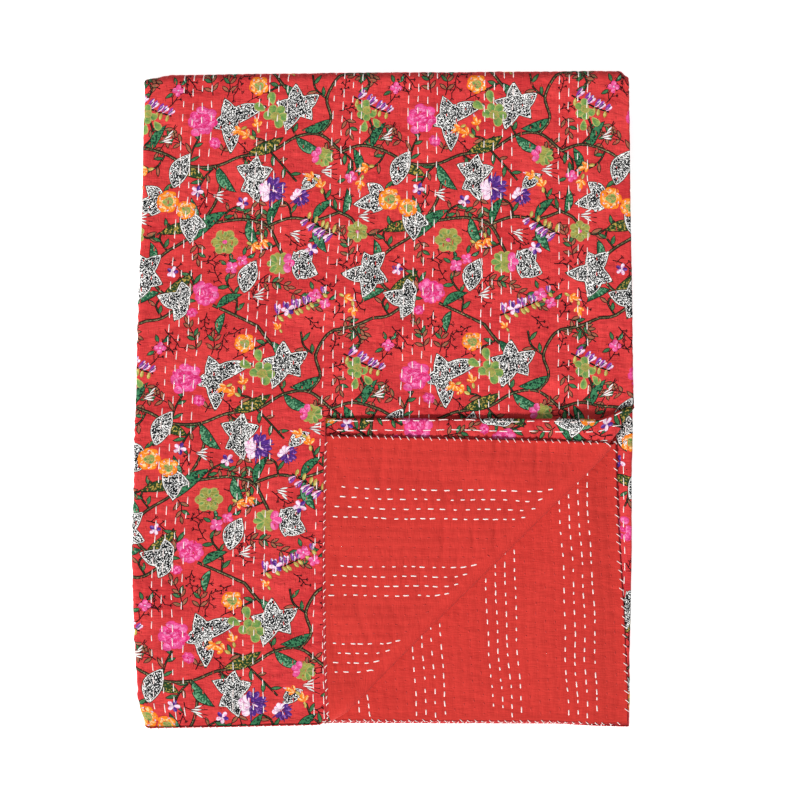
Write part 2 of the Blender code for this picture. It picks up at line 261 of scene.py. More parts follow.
def middlePoint(u, along):
    # where a point of the flat quilt's middle lies in the packet
    x, y, z, across = foldedFlat(u, along)
    turns = (across > topLayer) & (along > 0.0)
    x, y, z = cornerTurned(x, y, z, turns)
    for curl in curls:
        near = patch(x, y, curl) * turns
        y = y + curl["back"] * near
        z = z + curl["up"] * near
    weight = np.where(across > secondLayer, creaseShares["second"], creaseShares["top"])
    weight = np.where(across > thirdLayer, creaseShares["third"], weight) * turns
    for crease in flapCreases:
        z = z + crease["up"] * weight * patch(x, y, crease)
    puffed = smooth((z - puff["above"]) / puff["fades"]) * (along < 0.0)
    z = z + puff["up"] * patch(x, y, puff) * puffed
    drift = between(hemDrift, "y", y, "right") * (along > 0.0)
    x = x + drift * smooth(1.0 - u / sideHem["driftWidth"])
    hangs = smooth(1.0 - u / sideHem["width"]) * (along > 0.0) * smooth(-y / sideHem["fades"])
    z = z - sideHem["down"] * hangs
    for dent in dents:      # deepest in the top layer
        z = z + dent["up"] * patch(x, y, dent) * ((z - crossHeight) / crossRadius).clip(0.0, 1.0)
    return uneven(x, y, z)


def middleFrame(u, along, step=0.0001):
    # the directions along u and along the quilt, and the normal on the printed side
    byU = middlePoint(u + step, along) - middlePoint(u - step, along)
    byAlong = middlePoint(u, along + step) - middlePoint(u, along - step)
    normal = np.cross(byAlong, byU)
    return tuple(v / np.linalg.norm(v, axis=-1, keepdims=True) for v in (byU, byAlong, normal))


# Rows of running stitch. Their lines run along the quilt, four white ones and then four red ones

stitching = {
    "rowPitch": 0.0895 / 8,
    "rowsInGroup": 8,
    "numbers": range(-60, 140),  # enough for the rows of every field
    "whiteRows": 4,
    "firstOnLowest": 0.0344,     # from the side hem to the first white row
    "firstOnTop": 0.0442,        # from the left fold
    "firstOnThird": 0.0586,      # from the other side hem
    "wander": 0.0007,
    "bend": -0.0045,             # how far the third layer's rows bend beside the roll
    "bendFades": 0.018,
}
wanderWaves = table("share along u", (1.0, 31.0, 23.0), (0.6, 74.0, -61.0))
rowPitch = stitching["rowPitch"]
topFirst = topLayer + stitching["firstOnTop"]
thirdFirst = quiltWidth - stitching["firstOnThird"]

# The cloth's relief: troughs along the rows, puckers between them, and creases across them
relief = {
    "troughWidth": 0.0021,
    "troughDepth": 0.00050,
    "dipLength": 0.0145,
    "dipShare": 0.20,
    "puckerHeight": 0.00048,
    "puckerLength": 0.0084,
    "lengthSpread": 0.25,
    "puckerSway": 1.3,           # how far their spacing varies along a gap, in radians
    "finerShare": 0.5,           # how high and how long the finer puckers on them are
    "finerLength": 0.53,
    "comeAndGo": 0.45,           # how much lower the puckers get in places
    "ripple": 0.00012,
    "lift": 0.0001,
    "creaseWidth": 0.14,
    "printed": {"puckers": 2.0, "creases": -1.6, "shift": 0.0},
    "plain": {"puckers": -0.7, "creases": -1.1, "shift": 0.4},
    "leastOffset": 0.0003,
    "lowestShare": 0.45,         # on the lowest layer's reverse, beside the flap's
    "foldShare": 0.25,           # where the cloth is stretched round the packet's folds
    "foldUntil": 0.001,
    "foldFades": 0.007,
    "rollShare": 0.15,           # on the turned corner's roll
    "rollUntil": 0.010,
    "rollFades": 0.012,
    "rowsFrom": 0.002,           # from the left folds to where the rows' relief begins
    "rowsRise": 0.006,
}
creases = table("spacing bend bends comes phase depth", (0.0210, 1.7, 43.0, 61.0, 0.7, 0.00085),
                (0.0345, 2.3, 29.0, 37.0, 2.9, 0.00110), (0.0148, 1.2, 71.0, 83.0, 4.4, 0.00065))

# The hem is thicker than the cloth, and the printed face laps round it onto the reverse
hem = {
    "width": 0.006,
    "thickness": 0.0023,
    "roundSteps": 4,
    "lap": 0.0005,               # how far the printed cloth goes onto the reverse
    "lapSteps": (0.4, 0.85),     # shares of the lap
    "proud": 0.00022,            # how far it stands above it
    "tuck": 0.0002,              # how far the lap's end goes into the reverse
    "shadedRimWidth": 0.0016,          # of the hem's rim, which the printed material darkens with painted shade
}
hemHalf = hem["thickness"] / 2


def wander(u, along):
    # how far a row lies off its line
    past, across = pastTheTurn(u, along)
    onFlap = (past > 0.0) * (across > thirdLayer)
    bent = smooth(1.0 - (past - turnCloth / 2) / stitching["bendFades"]) * onFlap
    waves = sum(wave["share"] * np.sin(along * wave["along"] + u * wave["u"]) for wave in wanderWaves)
    return stitching["wander"] * waves + stitching["bend"] * bent


def calmed(where, distance):
    # the share of the relief at a fold, which grows to the whole of it
    least = relief[where + "Share"]
    return least + (1.0 - least) * smooth((distance - relief[where + "Until"]) / relief[where + "Fades"])


def rowAt(u, along):
    # the place among the rows, where whole numbers are rows, and a share that fades at the folds
    moved = u + wander(u, along)
    place = np.where(u < outerFold, moved - stitching["firstOnLowest"], moved - topFirst)
    place = np.where(u > thirdLayer, thirdFirst - moved, place) / rowPitch
    fromFolds = np.minimum(np.abs(u - outerFold), np.abs(u - thirdLayer))
    past, _ = pastTheTurn(u, along)
    onRoll = (u > thirdLayer) & (along > 0.0) & (past > 0.0)
    calm = np.where(onRoll, calmed("roll", past), 1.0)
    return place, smooth((fromFolds - relief["rowsFrom"]) / relief["rowsRise"]) * calm


def calmAtFolds(u, along):
    toLeft = np.abs(u - (outerFold + topLayer) / 2) - outerRadius * halfPi
    toRight = np.abs(u - (rightFold + secondLayer) / 2) - innerRadius * halfPi
    return calmed("fold", np.minimum(np.minimum(toLeft, toRight), np.abs(along) - crossArc))


def creased(u, along):
    depth = 0.0
    for crease in creases:
        turn = along * 2.0 * math.pi / crease["spacing"] + crease["phase"]
        turn = turn + crease["bend"] * np.sin(u * crease["bends"] + along * 17.0 + crease["phase"])
        groove = np.exp((np.sin(turn) - 1.0) / relief["creaseWidth"])
        here = np.sin(u * crease["comes"] + 2.0 * crease["phase"]) + np.sin(along * crease["comes"] * 0.7)
        depth = depth + crease["depth"] * groove * smooth(0.35 + 0.5 * here)
    return depth


def puckered(u, along, gap):
    # waves along the quilt, each gap between rows with its own length and start
    start = np.sin(gap * 12.9898 + 4.1) * 43758.5453
    start = (start - np.floor(start)) * 2.0 * math.pi
    length = relief["puckerLength"] * (1.0 + relief["lengthSpread"] * np.sin(gap * 1.7 + 0.4))
    sway = relief["puckerSway"] * np.sin(along * 37.0 + start)
    crest = np.sin(along * 2.0 * math.pi / length + start + sway)
    finer = np.sin(along * 2.0 * math.pi / (length * relief["finerLength"]) + 2.0 * start)
    crest = crest + relief["finerShare"] * finer
    here = 1.0 - relief["comeAndGo"] + relief["comeAndGo"] * np.sin(along * 19.0 + gap * 2.1 + u * 9.0)
    return relief["puckerHeight"] * crest * here


def offsetOf(u, along, printed):
    # how far a face of the quilt stands off the middle
    place, share = rowAt(u, along)
    row = np.round(place)
    trough = np.exp(-((place - row) * rowPitch / relief["troughWidth"]) ** 2)
    dips = np.sin(along * 2.0 * math.pi / relief["dipLength"] + row * 2.4)
    dips = 1.0 - relief["dipShare"] + relief["dipShare"] * dips
    pucker = puckered(u, along, np.floor(place)) * (1.0 - trough)
    pucker = pucker + relief["ripple"] * np.sin(u * 210.0 + along * 160.0) * np.sin(along * 120.0 - u * 50.0)
    form = relief["printed" if printed else "plain"]
    rough = form["puckers"] * pucker + form["creases"] * creased(u + form["shift"], along)
    calm = calmAtFolds(u, along) if printed else np.where(u < outerFold, relief["lowestShare"], 1.0)
    offset = halfThick + share * (calm * rough + relief["lift"] - relief["troughDepth"] * trough * dips)
    offset = np.maximum(offset, relief["leastOffset"])
    toEdge = np.minimum(np.minimum(u, quiltWidth - u), halfLength - np.abs(along))
    inHem = smooth(1.6 - toEdge / hem["width"] * 1.1)
    return offset * (1.0 - inHem) + hemHalf * inHem


def facePoint(u, along, printed, lift=0.0):
    # a point of the printed or the plain face, before the packet is centred
    u, along = np.asarray(u, dtype=float), np.asarray(along, dtype=float)
    out = offsetOf(u, along, printed) + lift
    return middlePoint(u, along) + middleFrame(u, along)[2] * (out if printed else -out)[..., None]


# The lattice of each face: columns along the quilt, fine where the face shows

lattice = {
    "halfPlaces": 288,           # places along half of the quilt, a multiple of the hidden step
    "showing": 1,                # in places of the lattice
    "near": 2,
    "hidden": 16,
    "columnsInRow": 5,           # columns from one stitch row to the next
    "hiddenColumn": 0.016,
    "innerFoldColumn": 0.0009,
    "outerFoldColumn": {True: 0.0016, False: 0.0018},    # of the printed and the plain face
}
strip = secondLayer + 0.047      # how far the second layer's strip of print shows
triangle = 0.336                 # how far the lowest layer's reverse shows
flap = quiltWidth - 0.352        # where the third layer's reverse starts to show
placeStep = halfLength / lattice["halfPlaces"]
places = np.arange(-lattice["halfPlaces"], lattice["halfPlaces"] + 1) * placeStep


def columnsOf(first, last, step, row):
    # even columns, or fine ones that meet the stitch rows
    if row is None:
        return np.linspace(first, last, max(1, round((last - first) / step)) + 1)[:-1]
    low, high = math.ceil((first + step / 2 - row) / step), math.floor((last - step / 2 - row) / step)
    return np.concatenate([[first], row + step * np.arange(low, high + 1)])


def clothColumns(printed):
    # stretches of columns across the quilt: where each starts, its step, and a stitch row that it meets
    coarse, inner, outer = (lattice[name] for name in ("hiddenColumn", "innerFoldColumn", "outerFoldColumn"))
    fine, width, end = rowPitch / lattice["columnsInRow"], hem["width"], quiltWidth - hem["width"]
    stretches = [(outerFold, outer[printed], None), (rightFold, inner, None), (innerFold, inner, None),
                 (thirdLayer, coarse, None)]
    if printed:
        stretches += [(width, coarse, None), (topLayer, fine, topFirst), (secondLayer, fine, topFirst),
                      (strip, coarse, None)]
    else:
        stretches += [(width, fine, stitching["firstOnLowest"]), (triangle, coarse, None),
                      (topLayer, coarse, None), (secondLayer, coarse, None), (flap, fine, thirdFirst)]
    stretches.sort(key=lambda stretch: stretch[0])
    lasts = [stretch[0] for stretch in stretches[1:]] + [end]
    columns = [columnsOf(first, last, step, row) for (first, step, row), last in zip(stretches, lasts)]
    return np.concatenate([[0.0, width / 3, width * 2 / 3]] + columns
                          + [[end, quiltWidth - width * 2 / 3, quiltWidth - width / 3, quiltWidth]])


def stepsAt(u, along, printed):
    # how many places of the lattice lie between two points of a column, with margins in metres round
    # what can be seen
    past, across = pastTheTurn(u, along)
    upper = along > 0.0
    steps = np.full(u.shape, lattice["hidden"])
    steps[np.abs(along) < crossArc + 0.006] = lattice["near"]
    onTop = (across >= topLayer - 0.002) & (across <= rightFold + 0.002)
    nearRight = (across > rightFold - 0.012) & (across < strip)
    if printed:
        steps[nearRight & (upper & (past > -0.02) | (across < secondLayer + 0.004))] = lattice["near"]
        steps[(across > outerFold - 0.01) & (across < topLayer + 0.004)] = lattice["near"]
        steps[onTop & upper & (past < 0.016)] = lattice["near"]
        steps[onTop & (along > -crossArc) & (past < 0.004)] = lattice["showing"]
        steps[nearRight & upper & (past > -0.004)] = lattice["showing"]
    else:
        steps[nearRight] = lattice["near"]
        steps[(across < triangle) & upper & (past > -0.012)] = lattice["showing"]
        steps[(across > flap) & upper & (past > -0.004)] = lattice["showing"]
    return steps


def fan(left, right):
    # triangles between two chains of points, of which one may have more
    faces = []
    longer, shorter, flipped = (left, right, False) if len(left) >= len(right) else (right, left, True)
    middle = (len(longer) - 1) // 2
    for number in range(len(longer) - 1):
        if number == middle:
            faces.append((longer[number], shorter[-1], shorter[0]))
        faces.append((longer[number], longer[number + 1], shorter[0 if number < middle else -1]))
    return [face[::-1] for face in faces] if flipped else faces


def latticeFaces(keep, number):
    # joins the kept places of neighbouring columns with quads and triangles
    counts = np.concatenate([np.zeros((len(keep), 1), int), keep.cumsum(axis=1)], axis=1)
    quads, triangles = [], []
    for c in range(len(keep) - 1):
        common = np.nonzero(keep[c] & keep[c + 1])[0]
        first, last = common[:-1], common[1:]
        extra = (counts[c:c + 2, last] - counts[c:c + 2, first + 1]).sum(axis=0)
        a, b = first[extra == 0], last[extra == 0]
        quads.append(np.stack([number[c, a], number[c, b], number[c + 1, b], number[c + 1, a]], axis=1))
        for a, b in zip(first[extra > 0], last[extra > 0]):
            triangles += fan(*(line[a:b + 1][line[a:b + 1] >= 0] for line in number[c:c + 2]))
    return np.concatenate(quads), np.array(triangles, int).reshape(-1, 3)


def rimLoop(keep):
    # the border's places in order, each with the way out of the cloth, in u and along the quilt
    last, end = len(keep) - 1, keep.shape[1] - 1
    sides = [
        [(c, 0, 0, -1) for c in range(last + 1)],
        [(last, p, 1, 0) for p in np.nonzero(keep[last])[0]],
        [(c, end, 0, 1) for c in range(last, -1, -1)],
        [(0, p, -1, 0) for p in np.nonzero(keep[0])[0][::-1]],
    ]
    loop = []
    for before, side in zip(sides[-1:] + sides[:-1], sides):
        c, p, wayU, wayAlong = side[0]
        loop += [(c, p, wayU + before[-1][2], wayAlong + before[-1][3])] + side[1:-1]
    return np.array(loop)


def cutAlongTheRoll(quads, flat):
    # quads over the roll, as triangles whose shared side runs along the roll
    u, along = flat[quads].mean(axis=1).T
    past, across = pastTheTurn(u, along)
    onRoll = (across > topLayer) & (along > 0.0) & (past > -0.004) & (past < turnCloth + 0.006)
    onSecond = (across > secondLayer) & (across < innerFold)
    rising, falling = quads[onRoll & onSecond], quads[onRoll & ~onSecond]
    triangles = [rising[:, [0, 1, 2]], rising[:, [0, 2, 3]], falling[:, [0, 1, 3]], falling[:, [1, 2, 3]]]
    return quads[~onRoll], np.concatenate(triangles)


def roundTheHem(points, flat, quads, loop, border):
    # the printed face goes round the hem and laps onto the reverse
    edgeU, edgeAlong = flat[border, 0], flat[border, 1]
    byU, byAlong, normal = middleFrame(edgeU, edgeAlong)
    out = byU * loop[:, 2:3] + byAlong * loop[:, 3:4]
    middle = middlePoint(edgeU, edgeAlong)
    lap, down = hem["lap"], -hemHalf - hem["proud"]
    steps = [(hemHalf * math.cos(angle), hemHalf * math.sin(angle), hemHalf * angle)
             for angle in np.linspace(0.0, math.pi, hem["roundSteps"] + 1)[1:]]
    for share, up in [(share, down) for share in hem["lapSteps"]] + [(1.0, -hemHalf + hem["tuck"])]:
        steps.append((up, -lap * share, hemHalf * math.pi + lap * share))
    rings = [border]
    for up, outward, cloth in steps:
        rings.append(np.arange(len(border)) + len(points))
        points = np.concatenate([points, middle + normal * up + out * outward])
        flat = np.concatenate([flat, flat[border] + loop[:, 2:4] * cloth])
    rim = [np.stack([a, b, np.roll(b, -1), np.roll(a, -1)], axis=1) for a, b in zip(rings, rings[1:])]
    return points, flat, np.concatenate([quads] + rim)


def clothFace(printed):
    # the points, flat places, quads and triangles of one face
    columns = clothColumns(printed)
    u = np.repeat(columns[:, None], len(places), axis=1)
    along = np.repeat(places[None, :], len(columns), axis=0)
    fromMiddle = np.abs(np.arange(len(places)) - lattice["halfPlaces"])
    keep = fromMiddle[None, :] % stepsAt(u, along, printed) == 0
    keep[:, np.abs(fromMiddle - lattice["halfPlaces"] + 2) <= 1] = True      # beside the end hems
    number = np.full(keep.shape, -1)
    number[keep] = np.arange(keep.sum())
    quads, triangles = latticeFaces(keep, number)
    flat = np.stack([u[keep], along[keep]], axis=1)
    quads, onRoll = cutAlongTheRoll(quads, flat)
    triangles = np.concatenate([triangles, onRoll])
    points = facePoint(flat[:, 0], flat[:, 1], printed)
    if not printed:
        return points, flat, quads[:, ::-1], triangles[:, ::-1]
    loop = rimLoop(keep)
    points, flat, quads = roundTheHem(points, flat, quads, loop, number[loop[:, 0], loop[:, 1]])
    return points, flat, quads, triangles


def settled(points, flat):
    # the lowest layer lies flat on the floor, and the packet is centred in the solid's box
    across = acrossOf(flat[:, 0], flat[:, 1])
    down = (across >= topLayer) & (across <= rightFold) & (flat[:, 1] <= -crossArc)
    points[down & (points[:, 2] < halfThick), 2] = 0.0
    points[:, 2] = points[:, 2].clip(0.0)
    return points + packetShift


def findShift():
    ends = (2 * np.linspace(0.0, 1.0, 400) - 1) * halfLength
    wide, long = (grid.ravel() for grid in np.meshgrid(np.linspace(0.0, quiltWidth, 900), ends))
    points = middlePoint(wide, long) + middleFrame(wide, long)[2] * halfThick
    shift = (boxLow + boxHigh) / 2 - (points.min(axis=0) + points.max(axis=0)) / 2
    shift[2] = boxLow[2]
    return shift


packetShift = findShift()
print("packet shifted by", packetShift.round(5))


def newMesh(name, points, faceSets):
    mesh = bpy.data.meshes.new(name)
    mesh.vertices.add(len(points))
    mesh.vertices.foreach_set("co", np.ascontiguousarray(points, dtype=np.float32).ravel())
    faceSets = [faces for faces in faceSets if len(faces)]
    corners = np.concatenate([faces.ravel() for faces in faceSets])
    sizes = np.concatenate([np.full(len(faces), faces.shape[1]) for faces in faceSets])
    mesh.loops.add(len(corners))
    mesh.loops.foreach_set("vertex_index", corners.astype(np.int32))
    mesh.polygons.add(len(sizes))
    first = np.concatenate([[0], sizes.cumsum()[:-1]])
    mesh.polygons.foreach_set("loop_start", first.astype(np.int32))
    mesh.update(calc_edges=True)
    mesh.shade_smooth()
    return mesh


def newPiece(name, mesh, material):
    piece = bpy.data.objects.new(name, mesh)
    bpy.context.scene.collection.objects.link(piece)
    mesh.materials.append(material)
    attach(piece, "root")
    return piece


def setAttribute(mesh, name, kind, domain, values):
    attribute = mesh.attributes.new(name, kind, domain)
    field = "vector" if kind == "FLOAT_VECTOR" else "value"
    attribute.data.foreach_set(field, np.ascontiguousarray(values, dtype=np.float32).ravel())


# The print: one repeat of leaves, flowers, vines and twigs, drawn as small dabs of ink.
# Places are millimetres in the repeat, to the right and down, and turns are degrees from the right

repeat = {
    "width": 260.0,
    "height": 301.0,
    "cell": 0.5,                 # of the map that says which dab lies where
    "layers": 3,                 # dabs that one face can show
    "samples": 4,                # places each way that are looked at on a face
    "spill": 0.15,               # how far the map's dabs reach past their outlines
    "leafEdge": 0.3,             # how far inside a flecked leaf nothing else is drawn
    "fillers": 10,
    "fillerTries": 60,
    "fillerReach": 17,           # cells each way that are looked at for an empty place
    "fillerLength": 19,
    "fillerStart": -9,           # from the empty place's middle
    "fillerRadius": 6.5,
    "vineWidth": 3.9,
    "stemWidth": 2.7,
    "twigWidth": 1.2,
    "strength": 0.88,            # share of the inks' brightness
    "seed": 5,
}

# Kinds of dab. Width is of the outline in millimetres, and blunt, taper and bend shape a long dab, as
# petals and depth shape a round one. Marks say how the heart's colour comes in: from the middle, in
# grains, or from one side. Kinds with under lie below the flecked leaves
inks = table(
    "name fill heart line width blunt taper bend petals depth under marks",
    ("vine", (74, 70, 46), (172, 162, 118), (18, 18, 15),
     1.15, 0.0, 0, 0, 0, 0, 1, (0, 0.5, 0.6)),
    ("twig", (24, 6, 12), (40, 8, 14), (24, 6, 12),
     0.1, 0.0, 0, 0, 0, 0, 1, (0, 0.5, 0)),
    ("leaflet", (168, 96, 74), (112, 108, 72), (26, 18, 16),
     0.95, 0.9, -0.1, 0, 0, 0, 1, (0, 0.7, 0.5)),
    ("leaf", (34, 88, 60), (106, 164, 124), (12, 22, 18),
     1.0, 0.95, -0.2, 0.35, 0, 0, 1, (0, 1.5, 0.4)),
    ("backLeaf", (60, 126, 86), (16, 50, 38), (14, 24, 20),
     0.9, 0.95, -0.15, -0.35, 0, 0, 1, (0.25, 1.7, -0.3)),
    ("darkLeaf", (36, 66, 34), (186, 158, 74), (20, 32, 20),
     0.9, 0.95, -0.15, 0.2, 0, 0, 1, (0.1, 1.3, 0)),
    ("smallLeaf", (58, 112, 72), (104, 140, 92), (18, 28, 20),
     0.9, 0.9, -0.2, 0, 0, 0, 1, (0, 0.7, 0.4)),
    ("peony", (218, 42, 112), (236, 96, 158), (230, 80, 146),
     0.5, 0.5, 0, 0, 7, 0.2, 0, (0.1, 1.0, 0)),
    ("pinkPetal", (230, 78, 144), (244, 136, 188), (204, 38, 108),
     0.45, 0.5, 0.25, 0, 0, 0, 0, (0.2, 0.7, 0.5)),
    ("orangeBloom", (246, 132, 34), (252, 176, 60), (232, 104, 30),
     0.5, 0.5, 0, 0, 5, 0.16, 0, (0.2, 0.9, 0)),
    ("orangePetal", (250, 138, 32), (255, 214, 150), (236, 98, 30),
     0.4, 0.6, 0.4, 0, 0, 0, 0, (0.1, 0.8, 0.5)),
    ("oliveBloom", (162, 158, 78), (124, 152, 78), (186, 158, 96),
     0.9, 0.5, 0, 0, 6, 0.24, 0, (0.1, 0.9, 0)),
    ("limePetal", (132, 160, 80), (96, 142, 76), (180, 174, 104),
     1.1, 0.5, 0.4, 0, 0, 0, 0, (0.3, 0.4, 0.4)),
    ("purplePetal", (80, 40, 130), (156, 104, 182), (34, 14, 58),
     0.4, 0.6, 0.25, 0, 0, 0, 0, (0, 0.7, 0.6)),
    ("palePetal", (250, 226, 240), (238, 140, 190), (140, 74, 150),
     0.3, 0.5, 0.3, 0, 0, 0, 0, (0.1, 0.6, 0.4)),
    ("bell", (146, 56, 162), (246, 232, 246), (104, 40, 128),
     0.2, 0.6, 0.3, 0, 0, 0, 0, (0, 0.7, 0.75)),
    ("whiteDash", (246, 240, 236), (248, 200, 214), (60, 24, 30),
     0.4, 0.8, -0.2, 0, 0, 0, 0, (0, 0.3, 0)),
    ("yellowDrop", (186, 164, 78), (220, 204, 124), (110, 86, 36),
     0.5, 0.6, 0.1, 0, 0, 0, 0, (0.2, 0.5, 0.5)))
inkNumber = {ink["name"]: number for number, ink in enumerate(inks)}

# White leaves filled with black flecks: each is a few pointed arms (turn, length, half width) about a place
fleckedLeaves = table(
    "x y arms",
    (124, 60, [(-18, 52, 10.5), (-104, 29, 9.5), (84, 42, 10.5), (150, 20, 9)]),
    (206, 44, [(-96, 29, 9.5), (-30, 31, 9.5), (44, 26, 9), (112, 35, 10.5), (192, 29, 9.5)]),
    (64, 138, [(-66, 46, 12)]),
    (48, 152, [(168, 36, 10), (224, 26, 9), (118, 22, 8.5)]),
    (82, 172, [(80, 34, 11.5), (24, 29, 9.5)]),
    (160, 128, [(-86, 29, 9.5), (-150, 30, 10), (140, 25, 9), (80, 31, 10), (-28, 25, 9)]),
    (214, 142, [(-34, 30, 8.5)]),
    (216, 230, [(-46, 24, 12), (26, 27, 12), (96, 19, 9), (-116, 18, 9)]),
    (38, 238, [(176, 36, 10), (250, 25, 9.5), (-50, 31, 9.5), (28, 27, 9.5), (104, 35, 10.5)]),
    (84, 270, [(194, 33, 10.5), (262, 25, 9.5), (110, 27, 9.5)]),
    (154, 262, [(-72, 42, 12)]))

vines = [
    [(0, 98), (24, 91), (52, 98), (80, 112), (112, 113), (142, 102), (176, 97), (206, 80), (234, 78),
     (260, 98)],
    [(112, 113), (119, 132), (113, 158), (97, 182), (84, 198), (62, 212), (44, 228)],
    [(97, 182), (124, 178), (150, 176), (176, 184), (190, 206), (196, 218)],
    [(176, 184), (204, 175), (232, 178), (260, 169)],
    [(0, 169), (14, 176), (22, 188)],
    [(48, 248), (62, 262), (84, 274)],
    [(120, 276), (146, 288), (172, 301)],
    [(172, 0), (186, 18), (202, 34)],
    [(234, 78), (246, 60), (240, 36), (250, 14), (260, 6)],
    [(0, 6), (20, 2), (44, -8)],
    [(44, 293), (62, 290), (84, 274)],
]
stems = [
    [(80, 112), (66, 122), (62, 138)], [(80, 112), (84, 94), (92, 78)], [(206, 80), (199, 64), (204, 50)],
    [(142, 102), (156, 112), (160, 124)], [(176, 97), (190, 112), (208, 132)],
    [(24, 91), (36, 76), (30, 56)], [(52, 98), (44, 112), (26, 122)], [(232, 178), (240, 194), (230, 212)],
    [(62, 212), (52, 196), (62, 180)], [(84, 274), (96, 256), (90, 236)],
    [(146, 288), (146, 268), (134, 250), (138, 234)], [(124, 178), (130, 166), (146, 158)],
    [(204, 175), (200, 160), (186, 152)], [(0, 98), (12, 108), (14, 126)], [(240, 36), (226, 24), (222, 8)],
    [(186, 18), (170, 26), (158, 22)], [(20, 2), (30, 18), (24, 34)], [(190, 206), (172, 212), (160, 206)],
    [(260, 169), (246, 158), (240, 142)], [(62, 290), (54, 276), (58, 268)],
    [(112, 113), (100, 126), (92, 142)], [(22, 188), (38, 196), (52, 190)],
    [(176, 97), (168, 84), (152, 80)],
]

# Leaves on their stems: kind, place, turn, length and width
leaves = [
    ("leaf", 86, 199, -88, 50, 15), ("backLeaf", 88, 199, -42, 52, 16), ("darkLeaf", 150, 100, -24, 46, 15),
    ("leaf", 112, 114, 52, 40, 13), ("backLeaf", 34, 93, -62, 34, 11), ("leaf", 204, 82, 28, 40, 13),
    ("darkLeaf", 92, 184, 172, 42, 14), ("backLeaf", 176, 184, -66, 36, 11), ("leaf", 152, 176, 66, 38, 12),
    ("backLeaf", 228, 178, -48, 34, 11), ("leaf", 232, 180, 70, 40, 13), ("darkLeaf", 62, 264, -38, 42, 14),
    ("leaf", 56, 258, 150, 32, 11), ("backLeaf", 122, 278, -28, 34, 11), ("leaf", 132, 284, 100, 28, 10),
    ("leaf", 188, 20, 34, 36, 12), ("backLeaf", 246, 62, 160, 36, 12), ("leaf", 6, 172, -84, 32, 10),
    ("backLeaf", 16, 94, 78, 34, 11), ("darkLeaf", 100, 126, 198, 36, 12), ("leaf", 46, 228, -96, 28, 10),
]

# Flowers: kind, place, turn and radius
flowers = [
    ("peony", 94, 60, 10, 18), ("bud", 110, 86, 40, 7.5), ("lime", 180, 56, 190, 14),
    ("orange", 58, 154, 0, 13.5), ("orange", 80, 164, 30, 11.5), ("violet", 178, 142, 10, 16),
    ("violet", 212, 150, 60, 11), ("rose", 128, 202, 0, 16), ("half", 194, 228, 0, 14),
    ("peony", 110, 262, 40, 15), ("rose", 22, 192, 30, 13), ("bud", 96, 284, 0, 6.5),
    ("orange", 158, 20, 20, 12), ("half", 238, 104, 200, 12), ("lime", 28, 50, 30, 12),
    ("blossom", 138, 232, -40, 7), ("blossom", 150, 224, 30, 6), ("blossom", 12, 128, 10, 6.5),
    ("blossom", 236, 266, 100, 7), ("blossom", 248, 276, 20, 6), ("blossom", 62, 24, 0, 6.5),
    ("trumpet", 150, 78, 200, 9), ("trumpet", 160, 68, 250, 8), ("trumpet", 140, 70, 150, 8),
    ("trumpet", 32, 116, 160, 8.5), ("trumpet", 24, 132, 100, 8), ("trumpet", 238, 140, 250, 8.5),
    ("trumpet", 228, 128, 200, 8), ("trumpet", 160, 206, 20, 8), ("trumpet", 172, 200, 60, 7.5),
    ("trumpet", 10, 268, 20, 8), ("trumpet", 20, 280, 80, 8), ("small", 92, 142, 80, 7.5),
    ("small", 146, 156, 20, 7.5), ("small", 230, 212, 100, 8), ("small", 206, 282, 40, 8),
    ("small", 70, 236, 0, 7),
]

# Rows of bells with drops below, and hands of white dashes: place, turn and length
bells = [(190, 290, -26, 66), (258, 196, -150, 44), (12, 34, 24, 48)]
whiteHands = [(124, 148, 190), (178, 262, 170), (36, 172, 180), (216, 196, 200), (60, 76, 160),
              (250, 120, 185)]

# Fine twigs and sprays of leaflets: place, turn and length
twigs = [
    (52, 44, -60, 30), (146, 38, -50, 28), (136, 84, 30, 28), (8, 82, 130, 26), (36, 136, 60, 24),
    (104, 138, 60, 28), (240, 88, 60, 24), (246, 148, 20, 26), (26, 208, 100, 26), (144, 190, 40, 28),
    (182, 240, 150, 26), (60, 226, 10, 26), (104, 224, 30, 26), (232, 246, 50, 28), (128, 250, 200, 24),
    (20, 258, 70, 26), (180, 276, 160, 26), (66, 2, 30, 28), (112, 14, -20, 26), (136, 8, 120, 24),
    (78, 32, 240, 24), (252, 230, 30, 24), (198, 194, 20, 24),
]
sprays = [
    (118, 100, -70, 34), (184, 176, 130, 36), (62, 64, 120, 36), (226, 110, -40, 32), (132, 166, 20, 36),
    (74, 88, 200, 32), (226, 200, -20, 34), (14, 224, -110, 34), (162, 150, 80, 34), (206, 262, 30, 36),
    (40, 20, 200, 34), (104, 30, 250, 36), (6, 294, 30, 32), (172, 250, 10, 32),
]

printRandom = np.random.default_rng(repeat["seed"])
dabs = []


def pointAt(x, y, turn, reach):
    return x + math.cos(math.radians(turn)) * reach, y + math.sin(math.radians(turn)) * reach


def dab(kind, x, y, turn, length, width):
    # one dab about its middle
    dabs.append((inkNumber[kind], x, y, math.radians(turn), length / 2, width / 2))


def petal(kind, x, y, turn, length, width):
    # one dab that starts at a place
    dab(kind, *pointAt(x, y, turn, length / 2), turn, length, width)


def stroke(kind, points, width):
    for (x0, y0), (x1, y1) in zip(points, points[1:]):
        length = math.hypot(x1 - x0, y1 - y0) + width * 0.5
        dab(kind, (x0 + x1) / 2, (y0 + y1) / 2, math.degrees(math.atan2(y1 - y0, x1 - x0)), length, width)


